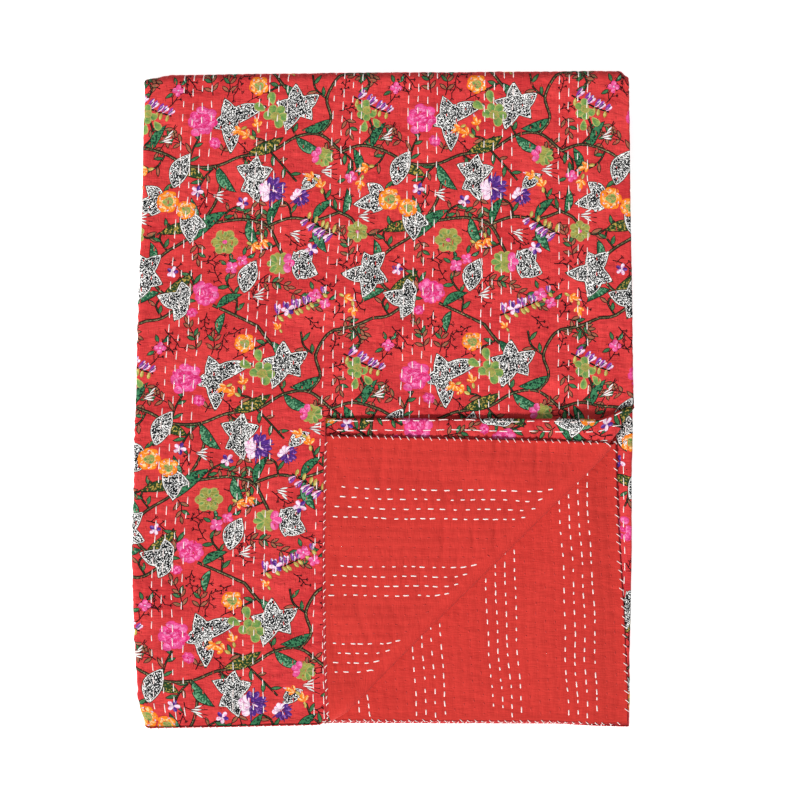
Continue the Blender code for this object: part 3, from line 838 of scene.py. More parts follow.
def curved(points, step=5.0):
    # a smooth line through a few points
    points = [np.array(p, float) for p in points]
    ends = [2 * points[0] - points[1]] + points + [2 * points[-1] - points[-2]]
    line = []
    for a, b, c, d in zip(ends, ends[1:], ends[2:], ends[3:]):
        count = max(2, round(np.linalg.norm(c - b) / step))
        for t in np.arange(count) / count:
            line.append(tuple(0.5 * (2 * b + (c - a) * t + (2 * a - 5 * b + 4 * c - d) * t ** 2
                                     + (3 * b - 3 * c + d - a) * t ** 3)))
    return line + [tuple(points[-1])]


twigForm = {
    "pieces": 5,
    "bend": 28,                  # the most that it turns from one piece to the next
    "sideLength": (0.16, 0.3),   # of a side twig, as shares of the whole
    "sideTurn": (35, 70),
    "sideWidth": 0.9,
    "forks": (-48, -4, 40),
    "forkLength": 0.5,
    "forkWidth": 0.85,
}

# What grows along a bowed stem: the stem's kind and width, how far and where it bows, how far apart
# its joints are, where the first one is, and the room beyond the last. Less is for each next joint
sprayForm = {
    "stem": "twig", "width": repeat["twigWidth"], "bow": (2.5, -2.5), "middle": 0.5,
    "spacing": 9, "first": 0.6, "room": 0.2,
    "turn": 52, "turnLess": 6, "length": 12.0, "lengthLess": 0.6, "leafWidth": 5.0, "tip": (11, 4.6),
}
bellForm = {
    "stem": "vine", "width": 2.0, "bow": (3, 3), "middle": 0.55,
    "spacing": 8.5, "first": 0.8, "room": 0.6,
    "parts": table("kind turn length less width", ("bell", -78, 14.0, 0.8, 4.2),
                   ("palePetal", -56, 13.0, 0.7, 4.0), ("purplePetal", -66, 9.0, 0.0, 1.4),
                   ("yellowDrop", 74, 10.5, 0.5, 4.6)),
}
stemForm = {"leafTurn": (38, 62), "leafLength": (11, 16), "leafWidth": (4.6, 5.8)}
handForm = {
    "dashes": table("down turn length", (-6, -28, 10), (-1, -8, 14), (4, 6, 15), (8.5, 24, 11)),
    "dashWidth": 2.5,
    "stalkTurn": 178,
    "stalk": (6.0, 1.0),
}


def twig(x, y, turn, length):
    # a bent stem with side twigs that fork
    points, angle, width = [(x, y)], turn, repeat["twigWidth"]
    for number in range(twigForm["pieces"]):
        angle += printRandom.uniform(-twigForm["bend"], twigForm["bend"])
        x, y = pointAt(x, y, angle, length / twigForm["pieces"])
        points.append((x, y))
        reach = length * printRandom.uniform(*twigForm["sideLength"])
        branch = angle + (1 if number % 2 else -1) * printRandom.uniform(*twigForm["sideTurn"])
        tip = pointAt(x, y, branch, reach)
        stroke("twig", [(x, y), tip], width * twigForm["sideWidth"])
        for spread in twigForm["forks"]:
            end = pointAt(*tip, branch + spread, reach * twigForm["forkLength"])
            stroke("twig", [tip, end], width * twigForm["forkWidth"])
    stroke("twig", points, width)


def bowedStem(x, y, turn, length, form):
    # draws the stem, and gives its joints and its tip
    middle = pointAt(x + form["bow"][0], y + form["bow"][1], turn, length * form["middle"])
    line = curved([(x, y), middle, pointAt(x, y, turn, length)])
    stroke(form["stem"], line, form["width"])
    count = max(2, round(length / form["spacing"]))
    return [line[round((number + form["first"]) * (len(line) - 1) / (count + form["room"]))]
            for number in range(count)], line[-1]


def spray(x, y, turn, length):
    # leaflets in pairs along a thin stem
    joints, tip = bowedStem(x, y, turn, length, sprayForm)
    for number, joint in enumerate(joints):
        for side in (-1, 1):
            tilt = turn + side * (sprayForm["turn"] - sprayForm["turnLess"] * number)
            long = sprayForm["length"] - number * sprayForm["lengthLess"]
            petal("leaflet" if (number + side) % 3 else "smallLeaf", *joint, tilt, long,
                  sprayForm["leafWidth"])
    petal("leaflet", *tip, turn, *sprayForm["tip"])


def bellRow(x, y, turn, length):
    for number, joint in enumerate(bowedStem(x, y, turn, length, bellForm)[0]):
        for part in bellForm["parts"]:
            long = part["length"] - number * part["less"]
            petal(part["kind"], *joint, turn + part["turn"], long, part["width"])


def stem(points):
    # a thin vine with small leaves by turns on either side
    line = curved(points)
    stroke("vine", line, repeat["stemWidth"])
    for number in range(1, len(line) - 1, 2):
        (x0, y0), (x1, y1) = line[number - 1], line[number + 1]
        turn, length, width = (printRandom.uniform(*stemForm[name])
                               for name in ("leafTurn", "leafLength", "leafWidth"))
        turn = math.degrees(math.atan2(y1 - y0, x1 - x0)) + (turn if number % 4 == 1 else -turn)
        petal("leaflet" if number % 3 == 0 else "smallLeaf", *line[number], turn, length, width)


def whiteHand(x, y, turn):
    for dash in handForm["dashes"]:
        tilt, down = turn + dash["turn"], y + dash["down"]
        petal("twig", x, down, tilt + handForm["stalkTurn"], *handForm["stalk"])
        petal("whiteDash", x, down, tilt, dash["length"], handForm["dashWidth"])


# The parts of the flowers, in order: dab or petal, its kind, the turns of its places, how far out they
# are, its tilt there, its length and its width, all but the angles as shares of the flower's radius
quarters, sixths = range(0, 360, 90), range(0, 360, 60)
flowerParts = {
    "bud": [(dab, "peony", 0, 0, 0, 2, 1.7), (dab, "pinkPetal", quarters, 0.45, 60, 0.8, 0.6)],
    "lime": [(petal, "limePetal", range(0, 290, 58), 0, 0, 1.05, 0.7),
             (petal, "limePetal", [20, 66], 1.05, 0, 1.05, 0.66), (dab, "oliveBloom", 0, 0, 0, 0.9, 0.8)],
    "rose": [(dab, "oliveBloom", 0, 0, 0, 2, 1.9),
             (dab, "limePetal", range(30, 390, 60), 0.56, 10, 0.44, 0.3),
             (dab, "yellowDrop", sixths, 0.3, 0, 0.3, 0.12), (dab, "pinkPetal", 0, 0, 0, 0.36, 0.3)],
    "half": [(dab, "oliveBloom", 0, 0, 0, 1.7, 2), (petal, "limePetal", 180, 0.2, [-52, 0, 50], 0.9, 0.5)],
    "violet": [(petal, "palePetal", [112, 150, 190, 232], 0, 0, [0.95, 0.8, 0.9, 0.8], 0.6),
               (petal, "purplePetal", [-104, -68, -34, -4, 30, 64], 0, 0,
                [1.0, 1.1, 1.2, 1.1, 1.05, 0.9], 0.46),
               (petal, "purplePetal", [-86, -20, 16, 80], 0, 0, 1.3, 0.14),
               (dab, "palePetal", [0, 120, 240], 0.3, 20, 0.5, 0.14)],
    "small": [(petal, "purplePetal", 0, 0, 0, 1, 0.62), (petal, "palePetal", [70, 140], 0, 0, 1, 0.62),
              (petal, "purplePetal", 212, 0, 0, 1, 0.62), (petal, "palePetal", 290, 0, 0, 1, 0.62)],
    "blossom": [(dab, "pinkPetal", quarters, 0.55, 20, 1.1, 0.95), (dab, "palePetal", 0, 0, 0, 0.4, 0.3)],
    "trumpet": [(petal, "orangePetal", [0, 48, -42], 0, 0, [1.6, 1, 1], [0.6, 0.5, 0.45]),
                (petal, "palePetal", 0, 1.2, 0, 0.6, 0.2), (petal, "yellowDrop", 190, 0, 0, 0.9, 0.5)],
    "orangeHeart": [(dab, "palePetal", range(25, 385, 60), 0.74, 70, 0.24, 0.13),
                    (dab, "limePetal", 0, 0, 0, 0.95, 0.8),
                    (dab, "oliveBloom", [0, 120, 240], 0.22, 40, 0.4, 0.3)],
}


def drawParts(name, x, y, turn, radius):
    for draw, kind, *shares in flowerParts[name]:
        for angle, reach, tilt, length, width in np.broadcast(*shares):
            place = pointAt(x, y, turn + angle, radius * reach)
            draw(kind, *place, turn + angle + tilt, radius * length, radius * width)


def flower(kind, x, y, turn, radius):
    if kind == "peony":
        dab("peony", x, y, turn, radius * 2, radius * 1.7)
        for number in range(9):
            angle = turn + number * 40 + printRandom.uniform(-14, 14)
            middle = pointAt(x, y, angle, radius * printRandom.uniform(0.6, 0.92))
            size = radius * printRandom.uniform(0.44, 0.8)
            dab("pinkPetal", *middle, angle + printRandom.uniform(40, 130), size, size * 0.8)
        for name, start, low, high, length, width in (("peony", 0, 0.3, 0.5, 0.56, 0.36),
                                                      ("pinkPetal", 30, 0.12, 0.36, 0.5, 0.22)):
            for number in range(5):
                middle = pointAt(x, y, turn + start + number * 72, radius * printRandom.uniform(low, high))
                dab(name, *middle, turn + printRandom.uniform(0, 180), radius * length, radius * width)
    elif kind == "orange":
        dab("orangeBloom", x, y, turn, radius * 2, radius * 1.9)
        for number in range(6):
            angle = turn + number * 60 + printRandom.uniform(-14, 14)
            middle = pointAt(x, y, angle, radius * printRandom.uniform(0.6, 0.8))
            dab("orangePetal", *middle, angle + 90, radius * 0.72, radius * 0.52)
        drawParts("orangeHeart", x, y, turn, radius)
    else:
        drawParts(kind, x, y, turn, radius)
    if kind == "half":
        for spread in (-58, 0, 56):
            middle = pointAt(*pointAt(x, y, turn, radius * 0.3), turn + spread, radius * 0.5)
            dab("pinkPetal", *middle, turn + spread, radius * 0.8, radius * 0.6)
    if kind == "blossom":
        for tilt, name, long in ((150, "smallLeaf", 11), (-60, "leaf", 12), (-110, "smallLeaf", 11)):
            petal(name, *pointAt(x, y, turn + tilt, radius), turn + tilt, long, 5)


def insideDab(x, y, ink):
    # how far inside a dab a place is, in shares of its half length and half width
    if ink["petals"]:
        lobe = np.abs(np.cos(np.arctan2(y, x) * ink["petals"] / 2))
        return 1.0 - ink["depth"] * (1.0 - lobe) - np.hypot(x, y)
    half = (1.0 - x ** 2).clip(0.0) ** ink["blunt"] * (1.0 + ink["taper"] * x)
    return np.where(np.abs(x) < 1.0, half, -1.0) - np.abs(y - ink["bend"] * (1.0 - 2.0 * x ** 2))


farOff = 9.0                     # farther out than any dab or leaf reaches
fleckShape = {
    "bow": 0.30,                 # how far an arm bends aside, as a share of its length
    "heart": 9.0,                # radius of the middle that joins the arms, in millimetres
    "base": 0.5,                 # how wide an arm starts there
    "rise": 0.9,
    "blunt": 0.75,
    "point": 0.5,
}


def fleckDistance(x, y):
    # how far inside the flecked leaves a place of the repeat is, in millimetres
    inside = np.full(x.shape, -farOff)
    for leaf in fleckedLeaves:
        dx = (x - leaf["x"] + repeat["width"] / 2) % repeat["width"] - repeat["width"] / 2
        dy = (y - leaf["y"] + repeat["height"] / 2) % repeat["height"] - repeat["height"] / 2
        base = fleckShape["base"] / 2 if len(leaf["arms"]) > 1 else 0.0
        for number, (turn, length, half) in enumerate(leaf["arms"]):
            angle = math.radians(turn)
            t = (dx * math.cos(angle) + dy * math.sin(angle)) / length
            share = t.clip(0.0, 1.0)
            bow = (fleckShape["bow"] if number % 2 else -fleckShape["bow"]) * length * share * (1.0 - share)
            aside = np.abs(-dx * math.sin(angle) + dy * math.cos(angle) - bow)
            bulge = np.sin(math.pi * (base + (1.0 - base) * share ** fleckShape["rise"])).clip(0.0)
            bulge = bulge ** (fleckShape["blunt"] + fleckShape["point"] * share)
            ends = np.where(t < 0.0, t * length, np.where(t > 1.0, (1.0 - t) * length, 0.0))
            inside = np.maximum(inside, np.where(ends < 0.0, ends - aside * 0.3, half * bulge - aside))
        if base:
            inside = np.maximum(inside, fleckShape["heart"] - np.hypot(dx, dy))
    return inside


mapWide = round(repeat["width"] / repeat["cell"])
mapHigh = round(repeat["height"] / repeat["cell"])


def paintMap(mapping, chosen):
    # writes each dab's number over the cells that it covers
    for number in chosen:
        kind, x, y, angle, half, side = dabs[number]
        reach = max(half, side * (1.0 + abs(inks[kind]["bend"]))) + 1.0
        count = int(reach / repeat["cell"]) + 1
        across = np.arange(-count, count + 1) + round(x / repeat["cell"])
        down = np.arange(-count, count + 1) + round(y / repeat["cell"])
        dx, dy = np.meshgrid((across + 0.5) * repeat["cell"] - x, (down + 0.5) * repeat["cell"] - y)
        localX = (dx * math.cos(angle) + dy * math.sin(angle)) / half
        localY = (-dx * math.sin(angle) + dy * math.cos(angle)) / side
        rows, columns = np.nonzero(insideDab(localX, localY, inks[kind]) * side > -repeat["spill"])
        mapping[down[rows] % mapHigh, across[columns] % mapWide] = number


def emptiestPlace(fill):
    # the emptiest of a few chance places
    best, least = None, 2.0
    reach = np.arange(-repeat["fillerReach"], repeat["fillerReach"] + 1)
    for x, y in printRandom.uniform((0, 0), (repeat["width"], repeat["height"]),
                                     (repeat["fillerTries"], 2)):
        rows = (reach + int(y / repeat["cell"])) % mapHigh
        columns = (reach + int(x / repeat["cell"])) % mapWide
        share = fill[np.ix_(rows, columns)].mean()
        if share < least:
            best, least = (x, y), share
    return best


def drawRepeat():
    # twigs lie lowest, then stems, vines, leaves and flowers
    for draw, rows in ((twig, twigs), (spray, sprays), (stem, [[line] for line in stems])):
        for row in rows:
            draw(*row)
    for points in vines:
        stroke("vine", curved(points), repeat["vineWidth"])
    for draw, rows in ((petal, leaves), (bellRow, bells), (whiteHand, whiteHands), (flower, flowers)):
        for row in rows:
            draw(*row)
    flecks = fleckDistance(*np.meshgrid((np.arange(mapWide) + 0.5) * repeat["cell"],
                                        (np.arange(mapHigh) + 0.5) * repeat["cell"]))
    mapping = np.full((mapHigh, mapWide), -1)
    paintMap(mapping, range(len(dabs)))
    for number in range(repeat["fillers"]):     # small twigs and leaflets fill the emptiest places
        best = emptiestPlace((mapping >= 0) | (flecks > 0.0))
        first, turn = len(dabs), printRandom.uniform(0, 360)
        if number % 6 == 4:
            flower("trumpet", *best, turn, repeat["fillerRadius"])
        else:
            start = pointAt(*best, turn, repeat["fillerStart"])
            (spray if number % 3 == 2 else twig)(*start, turn, repeat["fillerLength"])
        paintMap(mapping, range(first, len(dabs)))
    dabs.sort(key=lambda row: not inks[row[0]]["under"])
    mapping[:] = -1
    paintMap(mapping, range(len(dabs)))
    under = np.array([inks[row[0]]["under"] for row in dabs] + [0])
    mapping[(flecks > repeat["leafEdge"]) & (under[mapping] == 1)] = -1
    return mapping


dabMap = drawRepeat()
print("print drawn:", len(dabs), "dabs,", round(100 * float((dabMap >= 0).mean())), "percent inked")


def mostlySeen(low, high):
    # the dabs that cover most of each face, as many as a face can show, lowest first
    numbers = []
    shares = (np.arange(repeat["samples"]) + 0.5) / repeat["samples"]
    for share in [(shareX, shareY) for shareX in shares for shareY in shares]:
        column, row = np.floor((low + (high - low) * share) / repeat["cell"]).astype(int).T
        numbers.append(dabMap[row % mapHigh, column % mapWide])
    numbers = np.stack(numbers, axis=1)
    chosen = []
    for _ in range(repeat["layers"]):
        counts = (numbers[:, :, None] == numbers[:, None, :]).sum(axis=2)
        counts[numbers < 0] = 0
        pick = numbers[np.arange(len(numbers)), counts.argmax(axis=1)]
        chosen.append(pick)
        numbers[numbers == pick[:, None]] = -1
    return np.sort(np.stack(chosen, axis=1), axis=1)


def inkFaces(mesh, flat):
    # gives each face the dabs that show on it, with the place of its corners in each dab
    corners = np.empty(len(mesh.loops), np.int32)
    mesh.loops.foreach_get("vertex_index", corners)
    first = np.empty(len(mesh.polygons), np.int32)
    mesh.polygons.foreach_get("loop_start", first)
    face = np.repeat(np.arange(len(first)), np.diff(np.append(first, len(corners))))
    place = flat[corners] * 1000.0
    low, high = np.minimum.reduceat(place, first), np.maximum.reduceat(place, first)
    chosen = mostlySeen(low, high)
    wide, long, gap = quiltWidth * 1000.0, halfLength * 1000.0, 0.01
    onRim = (low < (-gap, -long - gap)).any(axis=1) | (high > (wide + gap, long + gap)).any(axis=1)
    chosen[onRim] = -1           # faces that go round the hem's edge take no print
    rows = np.array(dabs)
    size = np.array([repeat["width"], repeat["height"]])
    middle = (low + high) / 2
    for number, letter in zip(chosen.T, "ABC"):
        row = rows[number]
        near = (middle - row[:, 1:3] + size / 2) % size - size / 2
        delta = near[face] + place - middle[face]
        cos, sin = np.cos(row[face, 3]), np.sin(row[face, 3])
        x = (delta[:, 0] * cos + delta[:, 1] * sin) / row[face, 4]
        y = (-delta[:, 0] * sin + delta[:, 1] * cos) / row[face, 5]
        x[(number < 0)[face]] = y[(number < 0)[face]] = farOff
        inDab = np.stack([x, y, row[face, 5]], axis=1)
        setAttribute(mesh, "inkPlace" + letter, "FLOAT_VECTOR", "CORNER", inDab)
        setAttribute(mesh, "inkKind" + letter, "FLOAT", "FACE", np.where(number < 0, 0, row[:, 0]))
    flecks = fleckDistance(flat[:, 0] * 1000.0, flat[:, 1] * 1000.0)
    beyond = np.maximum(-flat[:, 0], flat[:, 0] - quiltWidth).clip(np.abs(flat[:, 1]) - halfLength)
    setAttribute(mesh, "fleckEdge", "FLOAT", "POINT", np.where(beyond > 0.00001, -farOff, flecks))
    # the rim round the hem's edge, where the printed material paints shade
    setAttribute(mesh, "rim", "FLOAT", "POINT", smooth(beyond / hem["shadedRimWidth"]))


# Shader nodes: a value is added, multiplied and so on like a number, with a Math node for each step

class nodeValue:
    def __init__(self, tree, socket):
        self.tree, self.socket = tree, socket

    def by(self, operation, *others):
        return calculate(self.tree, operation, self, *others)

    def __add__(self, other):
        return self.by("ADD", other)

    def __sub__(self, other):
        return self.by("SUBTRACT", other)

    def __mul__(self, other):
        return self.by("MULTIPLY", other)

    def __rsub__(self, other):
        return calculate(self.tree, "SUBTRACT", other, self)

    def __rtruediv__(self, other):
        return calculate(self.tree, "DIVIDE", other, self)


def calculate(tree, operation, *values, clamp=False):
    node = addNode(tree, "Math", operation=operation, use_clamp=clamp)
    for socket, value in zip(node.inputs, values):
        plug(tree, value, socket)
    return nodeValue(tree, node.outputs[0])


def plug(tree, value, socket):
    if isinstance(value, nodeValue):
        value = value.socket
    if isinstance(value, bpy.types.NodeSocket):
        tree.links.new(value, socket)
    else:
        socket.default_value = value


def addNode(tree, kind, inputs=None, **settings):
    node = tree.nodes.new("ShaderNode" + kind)
    node.location = (len(tree.nodes) % 12 * 190, -(len(tree.nodes) // 12) * 260)
    for name, value in settings.items():
        setattr(node, name, value)
    for name, value in (inputs or {}).items():
        plug(tree, value, node.inputs[name])
    return node


def rangeOf(value, fromLow, fromHigh, toLow=0.0, toHigh=1.0):
    node = addNode(value.tree, "MapRange", clamp=True)
    for socket, entry in zip(node.inputs, (value, fromLow, fromHigh, toLow, toHigh)):
        plug(value.tree, entry, socket)
    return nodeValue(value.tree, node.outputs[0])


def mixColours(tree, share, first, second):
    node = addNode(tree, "Mix", data_type="RGBA", clamp_factor=True)
    for number, value in ((0, share), (6, first), (7, second)):
        plug(tree, value, node.inputs[number])
    return node.outputs[2]


def readAttribute(tree, name, output):
    return nodeValue(tree, addNode(tree, "Attribute", attribute_name=name).outputs[output])


def noise(tree, place, scale, detail, distortion=0.0):
    node = addNode(tree, "TexNoise", {"Vector": place, "Scale": scale, "Detail": detail,
                                      "Distortion": distortion})
    return nodeValue(tree, node.outputs[0])


def stretched(tree, place, stretch):
    node = addNode(tree, "VectorMath", operation="MULTIPLY")
    plug(tree, place, node.inputs[0])
    node.inputs[1].default_value = stretch
    return node.outputs[0]


def linear(colour, strength=1.0):
    # screen values from 0 to 255 to scene-linear ones
    shares = [value / 255.0 for value in colour]
    linears = (c / 12.92 if c <= 0.04045 else ((c + 0.055) / 1.055) ** 2.4 for c in shares)
    return tuple(value * strength for value in linears) + (1.0,)


def newGroup(name, inputs, outputs):
    tree = bpy.data.node_groups.new(name, "ShaderNodeTree")
    for label, kind, value in inputs:
        socket = tree.interface.new_socket(label, in_out="INPUT", socket_type="NodeSocket" + kind)
        if value is not None:
            socket.default_value = value
    for label, kind in outputs:
        tree.interface.new_socket(label, in_out="OUTPUT", socket_type="NodeSocket" + kind)
    given = tree.nodes.new("NodeGroupInput").outputs
    result = tree.nodes.new("NodeGroupOutput").inputs
    return tree, {label: nodeValue(tree, given[label]) for label, _, _ in inputs}, result


def placeGroup(tree, group, inputs):
    node = addNode(tree, "Group", node_tree=group)
    for name, value in inputs.items():
        plug(tree, value, node.inputs[name])
    return {output.name: nodeValue(tree, output) for output in node.outputs}


rampSteps = 32.0                 # room for this many kinds of ink
mostPetals = 16.0
inkEdge = 0.12                   # half the width of a dab's soft edge, in millimetres
heartFrom, heartTo = 0.12, 0.34  # of the marks, where the heart's colour comes in


def inkRamp(tree, position, values):
    # a colour for each kind of ink
    node = addNode(tree, "ValToRGB", {"Fac": position})
    ramp = node.color_ramp
    ramp.interpolation = "CONSTANT"
    ramp.elements[0].color = values[0]
    ramp.elements[1].position = 1.0 / rampSteps
    ramp.elements[1].color = values[1]
    for number, value in enumerate(values[2:], start=2):
        ramp.elements.new(number / rampSteps).color = value
    return node.outputs["Color"]


def inkNumbers(tree, position, values):
    # up to three numbers from 0 to 1 for each kind of ink
    colours = [tuple(value) + (0.0,) * (3 - len(value)) + (1.0,) for value in values]
    parts = addNode(tree, "SeparateColor", {"Color": inkRamp(tree, position, colours)}).outputs
    return [nodeValue(tree, part) for part in parts]


def makeInkDab():
    # draws one dab: its outline, fill and heart
    tree, given, result = newGroup(
        "Ink dab",
        [("Place", "Vector", None), ("Kind", "Float", 0.0), ("Grain", "Float", 0.5),
         ("Wobble", "Float", 0.25)],
        [("Colour", "Color"), ("Cover", "Float"), ("Under", "Float")])
    position = (given["Kind"] + 0.5).by("DIVIDE", rampSteps)
    fill, heart, line = (inkRamp(tree, position, [linear(ink[name], repeat["strength"]) for ink in inks])
                         for name in ("fill", "heart", "line"))
    blunt, taper, bend = inkNumbers(
        tree, position, [(ink["blunt"], ink["taper"] / 2 + 0.5, ink["bend"] / 2 + 0.5) for ink in inks])
    petals, depth, under = inkNumbers(
        tree, position, [(ink["petals"] / mostPetals, ink["depth"], ink["under"]) for ink in inks])
    fromMiddle, fromGrain, fromSide = inkNumbers(tree, position, read(inks, "marks"))
    width = inkNumbers(tree, position, [(ink["width"] / 2,) for ink in inks])[0] * 2.0

    place = addNode(tree, "SeparateXYZ", {"Vector": given["Place"]}).outputs
    x, y, side = (nodeValue(tree, part) for part in place)
    squared = x * x
    reach = (1.0 - squared).by("MAXIMUM", 0.0).by("POWER", blunt)
    reach = reach * ((taper * 2.0 - 1.0) * x + 1.0)
    bow = (bend * 2.0 - 1.0) * (squared * -2.0 + 1.0)
    longInside = reach - (y - bow).by("ABSOLUTE") - squared.by("GREATER_THAN", 1.0) * farOff

    petals = petals * mostPetals
    lobe = (y.by("ARCTAN2", x) * (petals * 0.5)).by("COSINE").by("ABSOLUTE")
    radius = (squared + y * y).by("SQRT")
    roundInside = 1.0 - depth * (1.0 - lobe) - radius
    inside = petals.by("GREATER_THAN", 0.5) * (roundInside - longInside) + longInside

    grain = given["Grain"] - 0.5
    edge = inside * side + grain * given["Wobble"]
    amount = fromMiddle * (1.0 - radius) + fromGrain * (grain * 2.0) + fromSide * (y * 0.8 + 0.1)
    colour = mixColours(tree, rangeOf(amount, heartFrom, heartTo), fill, heart)
    colour = mixColours(tree, 1.0 - rangeOf(edge - width, -inkEdge, inkEdge), colour, line)
    plug(tree, colour, result["Colour"])
    plug(tree, rangeOf(edge, -inkEdge, inkEdge), result["Cover"])
    plug(tree, under, result["Under"])
    return tree


fleckLook = {
    "leaf": (246, 244, 241),
    "fleck": (10, 14, 18),
    "outline": (44, 54, 40),
    "turns": (0.5, 2.0),         # the two ways that flecks lie, each in its own patches, in radians
    "slender": 0.46,
    "patches": 75.0,             # in a metre
    "patchEdge": (0.46, 0.54),
    "patchShare": 0.22,          # how much the patches differ in their flecks
    "sparse": (0.545, 0.565),    # flecks lie where the noise is below this
    "ragged": 0.6,               # how far the leaf's edge follows its flecks
    "border": (1.4, 1.9),        # millimetres from the edge to the first flecks
    "line": (0.85, 1.1),
    "softness": 0.14,
}


def makeFlecks():
    # white leaves with black flecks and a dark outline
    tree, given, result = newGroup(
        "Flecked leaf",
        [("Place", "Vector", None), ("Edge", "Float", 0.0), ("Fleck size", "Float", 2.2)],
        [("Colour", "Color"), ("Cover", "Float")])
    scale = 1000.0 / given["Fleck size"]
    dashes = []
    for turn in fleckLook["turns"]:
        longways = addNode(tree, "Mapping", {
            "Vector": given["Place"], "Rotation": (0.0, 0.0, turn),
            "Scale": (1.0, fleckLook["slender"], 1.0)}, vector_type="TEXTURE")
        dashes.append(noise(tree, longways.outputs[0], scale, 0.5, 0.5))
    patches = noise(tree, given["Place"], fleckLook["patches"], 1.0)
    flecks = rangeOf(patches, *fleckLook["patchEdge"]) * (dashes[0] - dashes[1]) + dashes[1]
    edge = (flecks - 0.5) * fleckLook["ragged"] + given["Edge"]
    dark = rangeOf((patches - 0.5) * fleckLook["patchShare"] + flecks, *fleckLook["sparse"], 1.0, 0.0)
    dark = dark * rangeOf(edge, *fleckLook["border"])
    colour = mixColours(tree, dark, linear(fleckLook["leaf"]), linear(fleckLook["fleck"]))
    onLine = rangeOf(edge, *fleckLook["line"], 1.0, 0.0)
    plug(tree, mixColours(tree, onLine, colour, linear(fleckLook["outline"])), result["Colour"])
    plug(tree, rangeOf(edge, -fleckLook["softness"], fleckLook["softness"]), result["Cover"])
    return tree


weaveForm = {
    "threadWays": ((1.0, 0.06, 1.0), (0.06, 1.0, 1.0)),      # stretches the noise into threads
    "threadHeight": 0.3,
    "crumpleWay": (0.32, 1.0, 1.0),
    "crumples": 230.0,           # in a metre
    "clouds": 22.0,
}


def makeCottonWeave():
    # fine uneven threads both ways: a height for the bump, and a shade that darkens the dye a little
    tree, given, result = newGroup(
        "Cotton weave",
        [("Place", "Vector", None), ("Thread size", "Float", 0.9), ("Mottle", "Float", 0.5),
         ("Crumple", "Float", 2.0), ("Streaks", "Float", 1.0)],
        [("Height", "Float"), ("Shade", "Float")])
    place = given["Place"]
    scale = 1000.0 / given["Thread size"]
    warp, weft = (noise(tree, stretched(tree, place, way), scale, 2.0) for way in weaveForm["threadWays"])
    woven = warp + weft
    crumples = noise(tree, stretched(tree, place, weaveForm["crumpleWay"]), weaveForm["crumples"], 2.0, 0.8)
    crumples = 0.5 - (crumples - 0.5).by("ABSOLUTE")
    mottle = (noise(tree, place, weaveForm["clouds"], 3.0) - 0.5) * given["Mottle"]
    shade = (woven - 1.0) * given["Streaks"] + mottle
    plug(tree, crumples * given["Crumple"] + woven * weaveForm["threadHeight"], result["Height"])
    plug(tree, calculate(tree, "ADD", shade, 0.5, clamp=True), result["Shade"])
    return tree


inkDab = makeInkDab()
fleckedLeaf = makeFlecks()
cottonWeave = makeCottonWeave()


def newMaterial(name, look):
    material = bpy.data.materials.new(name)
    material.use_nodes = True
    shader = material.node_tree.nodes["Principled BSDF"]
    shader.inputs["Roughness"].default_value = look["roughness"]
    shader.inputs["Sheen Weight"].default_value = look["sheen"]
    shader.inputs["Sheen Roughness"].default_value = 0.5
    shader.inputs["Specular IOR Level"].default_value = look["specular"]
    return material, material.node_tree, shader


def addBump(tree, shader, height, distance, strength):
    bump = addNode(tree, "Bump", {"Height": height, "Distance": distance, "Strength": strength})
    plug(tree, bump.outputs[0], shader.inputs["Normal"])


def makeClothMaterial(name, look):
    # dyed cotton, with the print on top where the look has one
    material, tree, shader = newMaterial(name, look)
    place = readAttribute(tree, "clothPlace", "Vector")
    weave = placeGroup(tree, cottonWeave, {"Place": place, **look["weave"]})
    colour = mixColours(tree, weave["Shade"], linear(look["dyeShade"]), linear(look["dye"]))
    if "grainSize" in look:
        colour = printOver(tree, place, colour, look)
    plug(tree, colour, shader.inputs["Base Color"])
    addBump(tree, shader, weave["Height"], look["bump"], 1.0)
    return material


def printOver(tree, place, colour, look):
    flecks = placeGroup(tree, fleckedLeaf, {"Place": place, "Edge": readAttribute(tree, "fleckEdge", "Fac")})
    colour = mixColours(tree, flecks["Cover"], colour, flecks["Colour"])
    grain = noise(tree, place, 1000.0 / look["grainSize"], 1.0, 0.6)
    for letter in "ABC":
        ink = placeGroup(tree, inkDab, {"Place": readAttribute(tree, "inkPlace" + letter, "Vector"),
                                        "Kind": readAttribute(tree, "inkKind" + letter, "Fac"),
                                        "Grain": grain})
        cover = ink["Cover"] * (1.0 - ink["Under"] * flecks["Cover"])
        colour = mixColours(tree, cover, colour, ink["Colour"])
    # Painted shade: the rim round the hem's edge is darkened, standing for the shadow beneath it and the
    # dark of the print there
    paintedRimShade = readAttribute(tree, "rim", "Fac") * look["rimShare"]
    return mixColours(tree, paintedRimShade, colour, linear(look["rimPaintedShade"]))


printedLook = {
    "dye": (214, 64, 63),
    "dyeShade": (184, 43, 47),
    # the colour of the painted shade on the hem's rim
    "rimPaintedShade": (112, 20, 24),
    "rimShare": 0.6,             # how much of that painted shade the hem's rim takes, standing for the shadow beneath the rim and the print's dark there
    "roughness": 0.86,
    "sheen": 0.02,
    "specular": 0.12,
    "weave": {"Thread size": 0.9, "Mottle": 2.0, "Streaks": 1.8, "Crumple": 2.8},
    "grainSize": 2.6,            # of the inks, in millimetres
    "bump": 0.0005,
}
plainLook = {
    "dye": (207, 60, 52),
    "dyeShade": (180, 43, 38),
    "roughness": 0.84,
    "sheen": 0.02,
    "specular": 0.12,
    "weave": {"Thread size": 1.0, "Mottle": 0.6, "Streaks": 1.3, "Crumple": 1.5},
    "rollLonger": 1.8,           # how much longer than flat the reverse is on the roll
    "bump": 0.0005,
}


# The two faces of the quilt

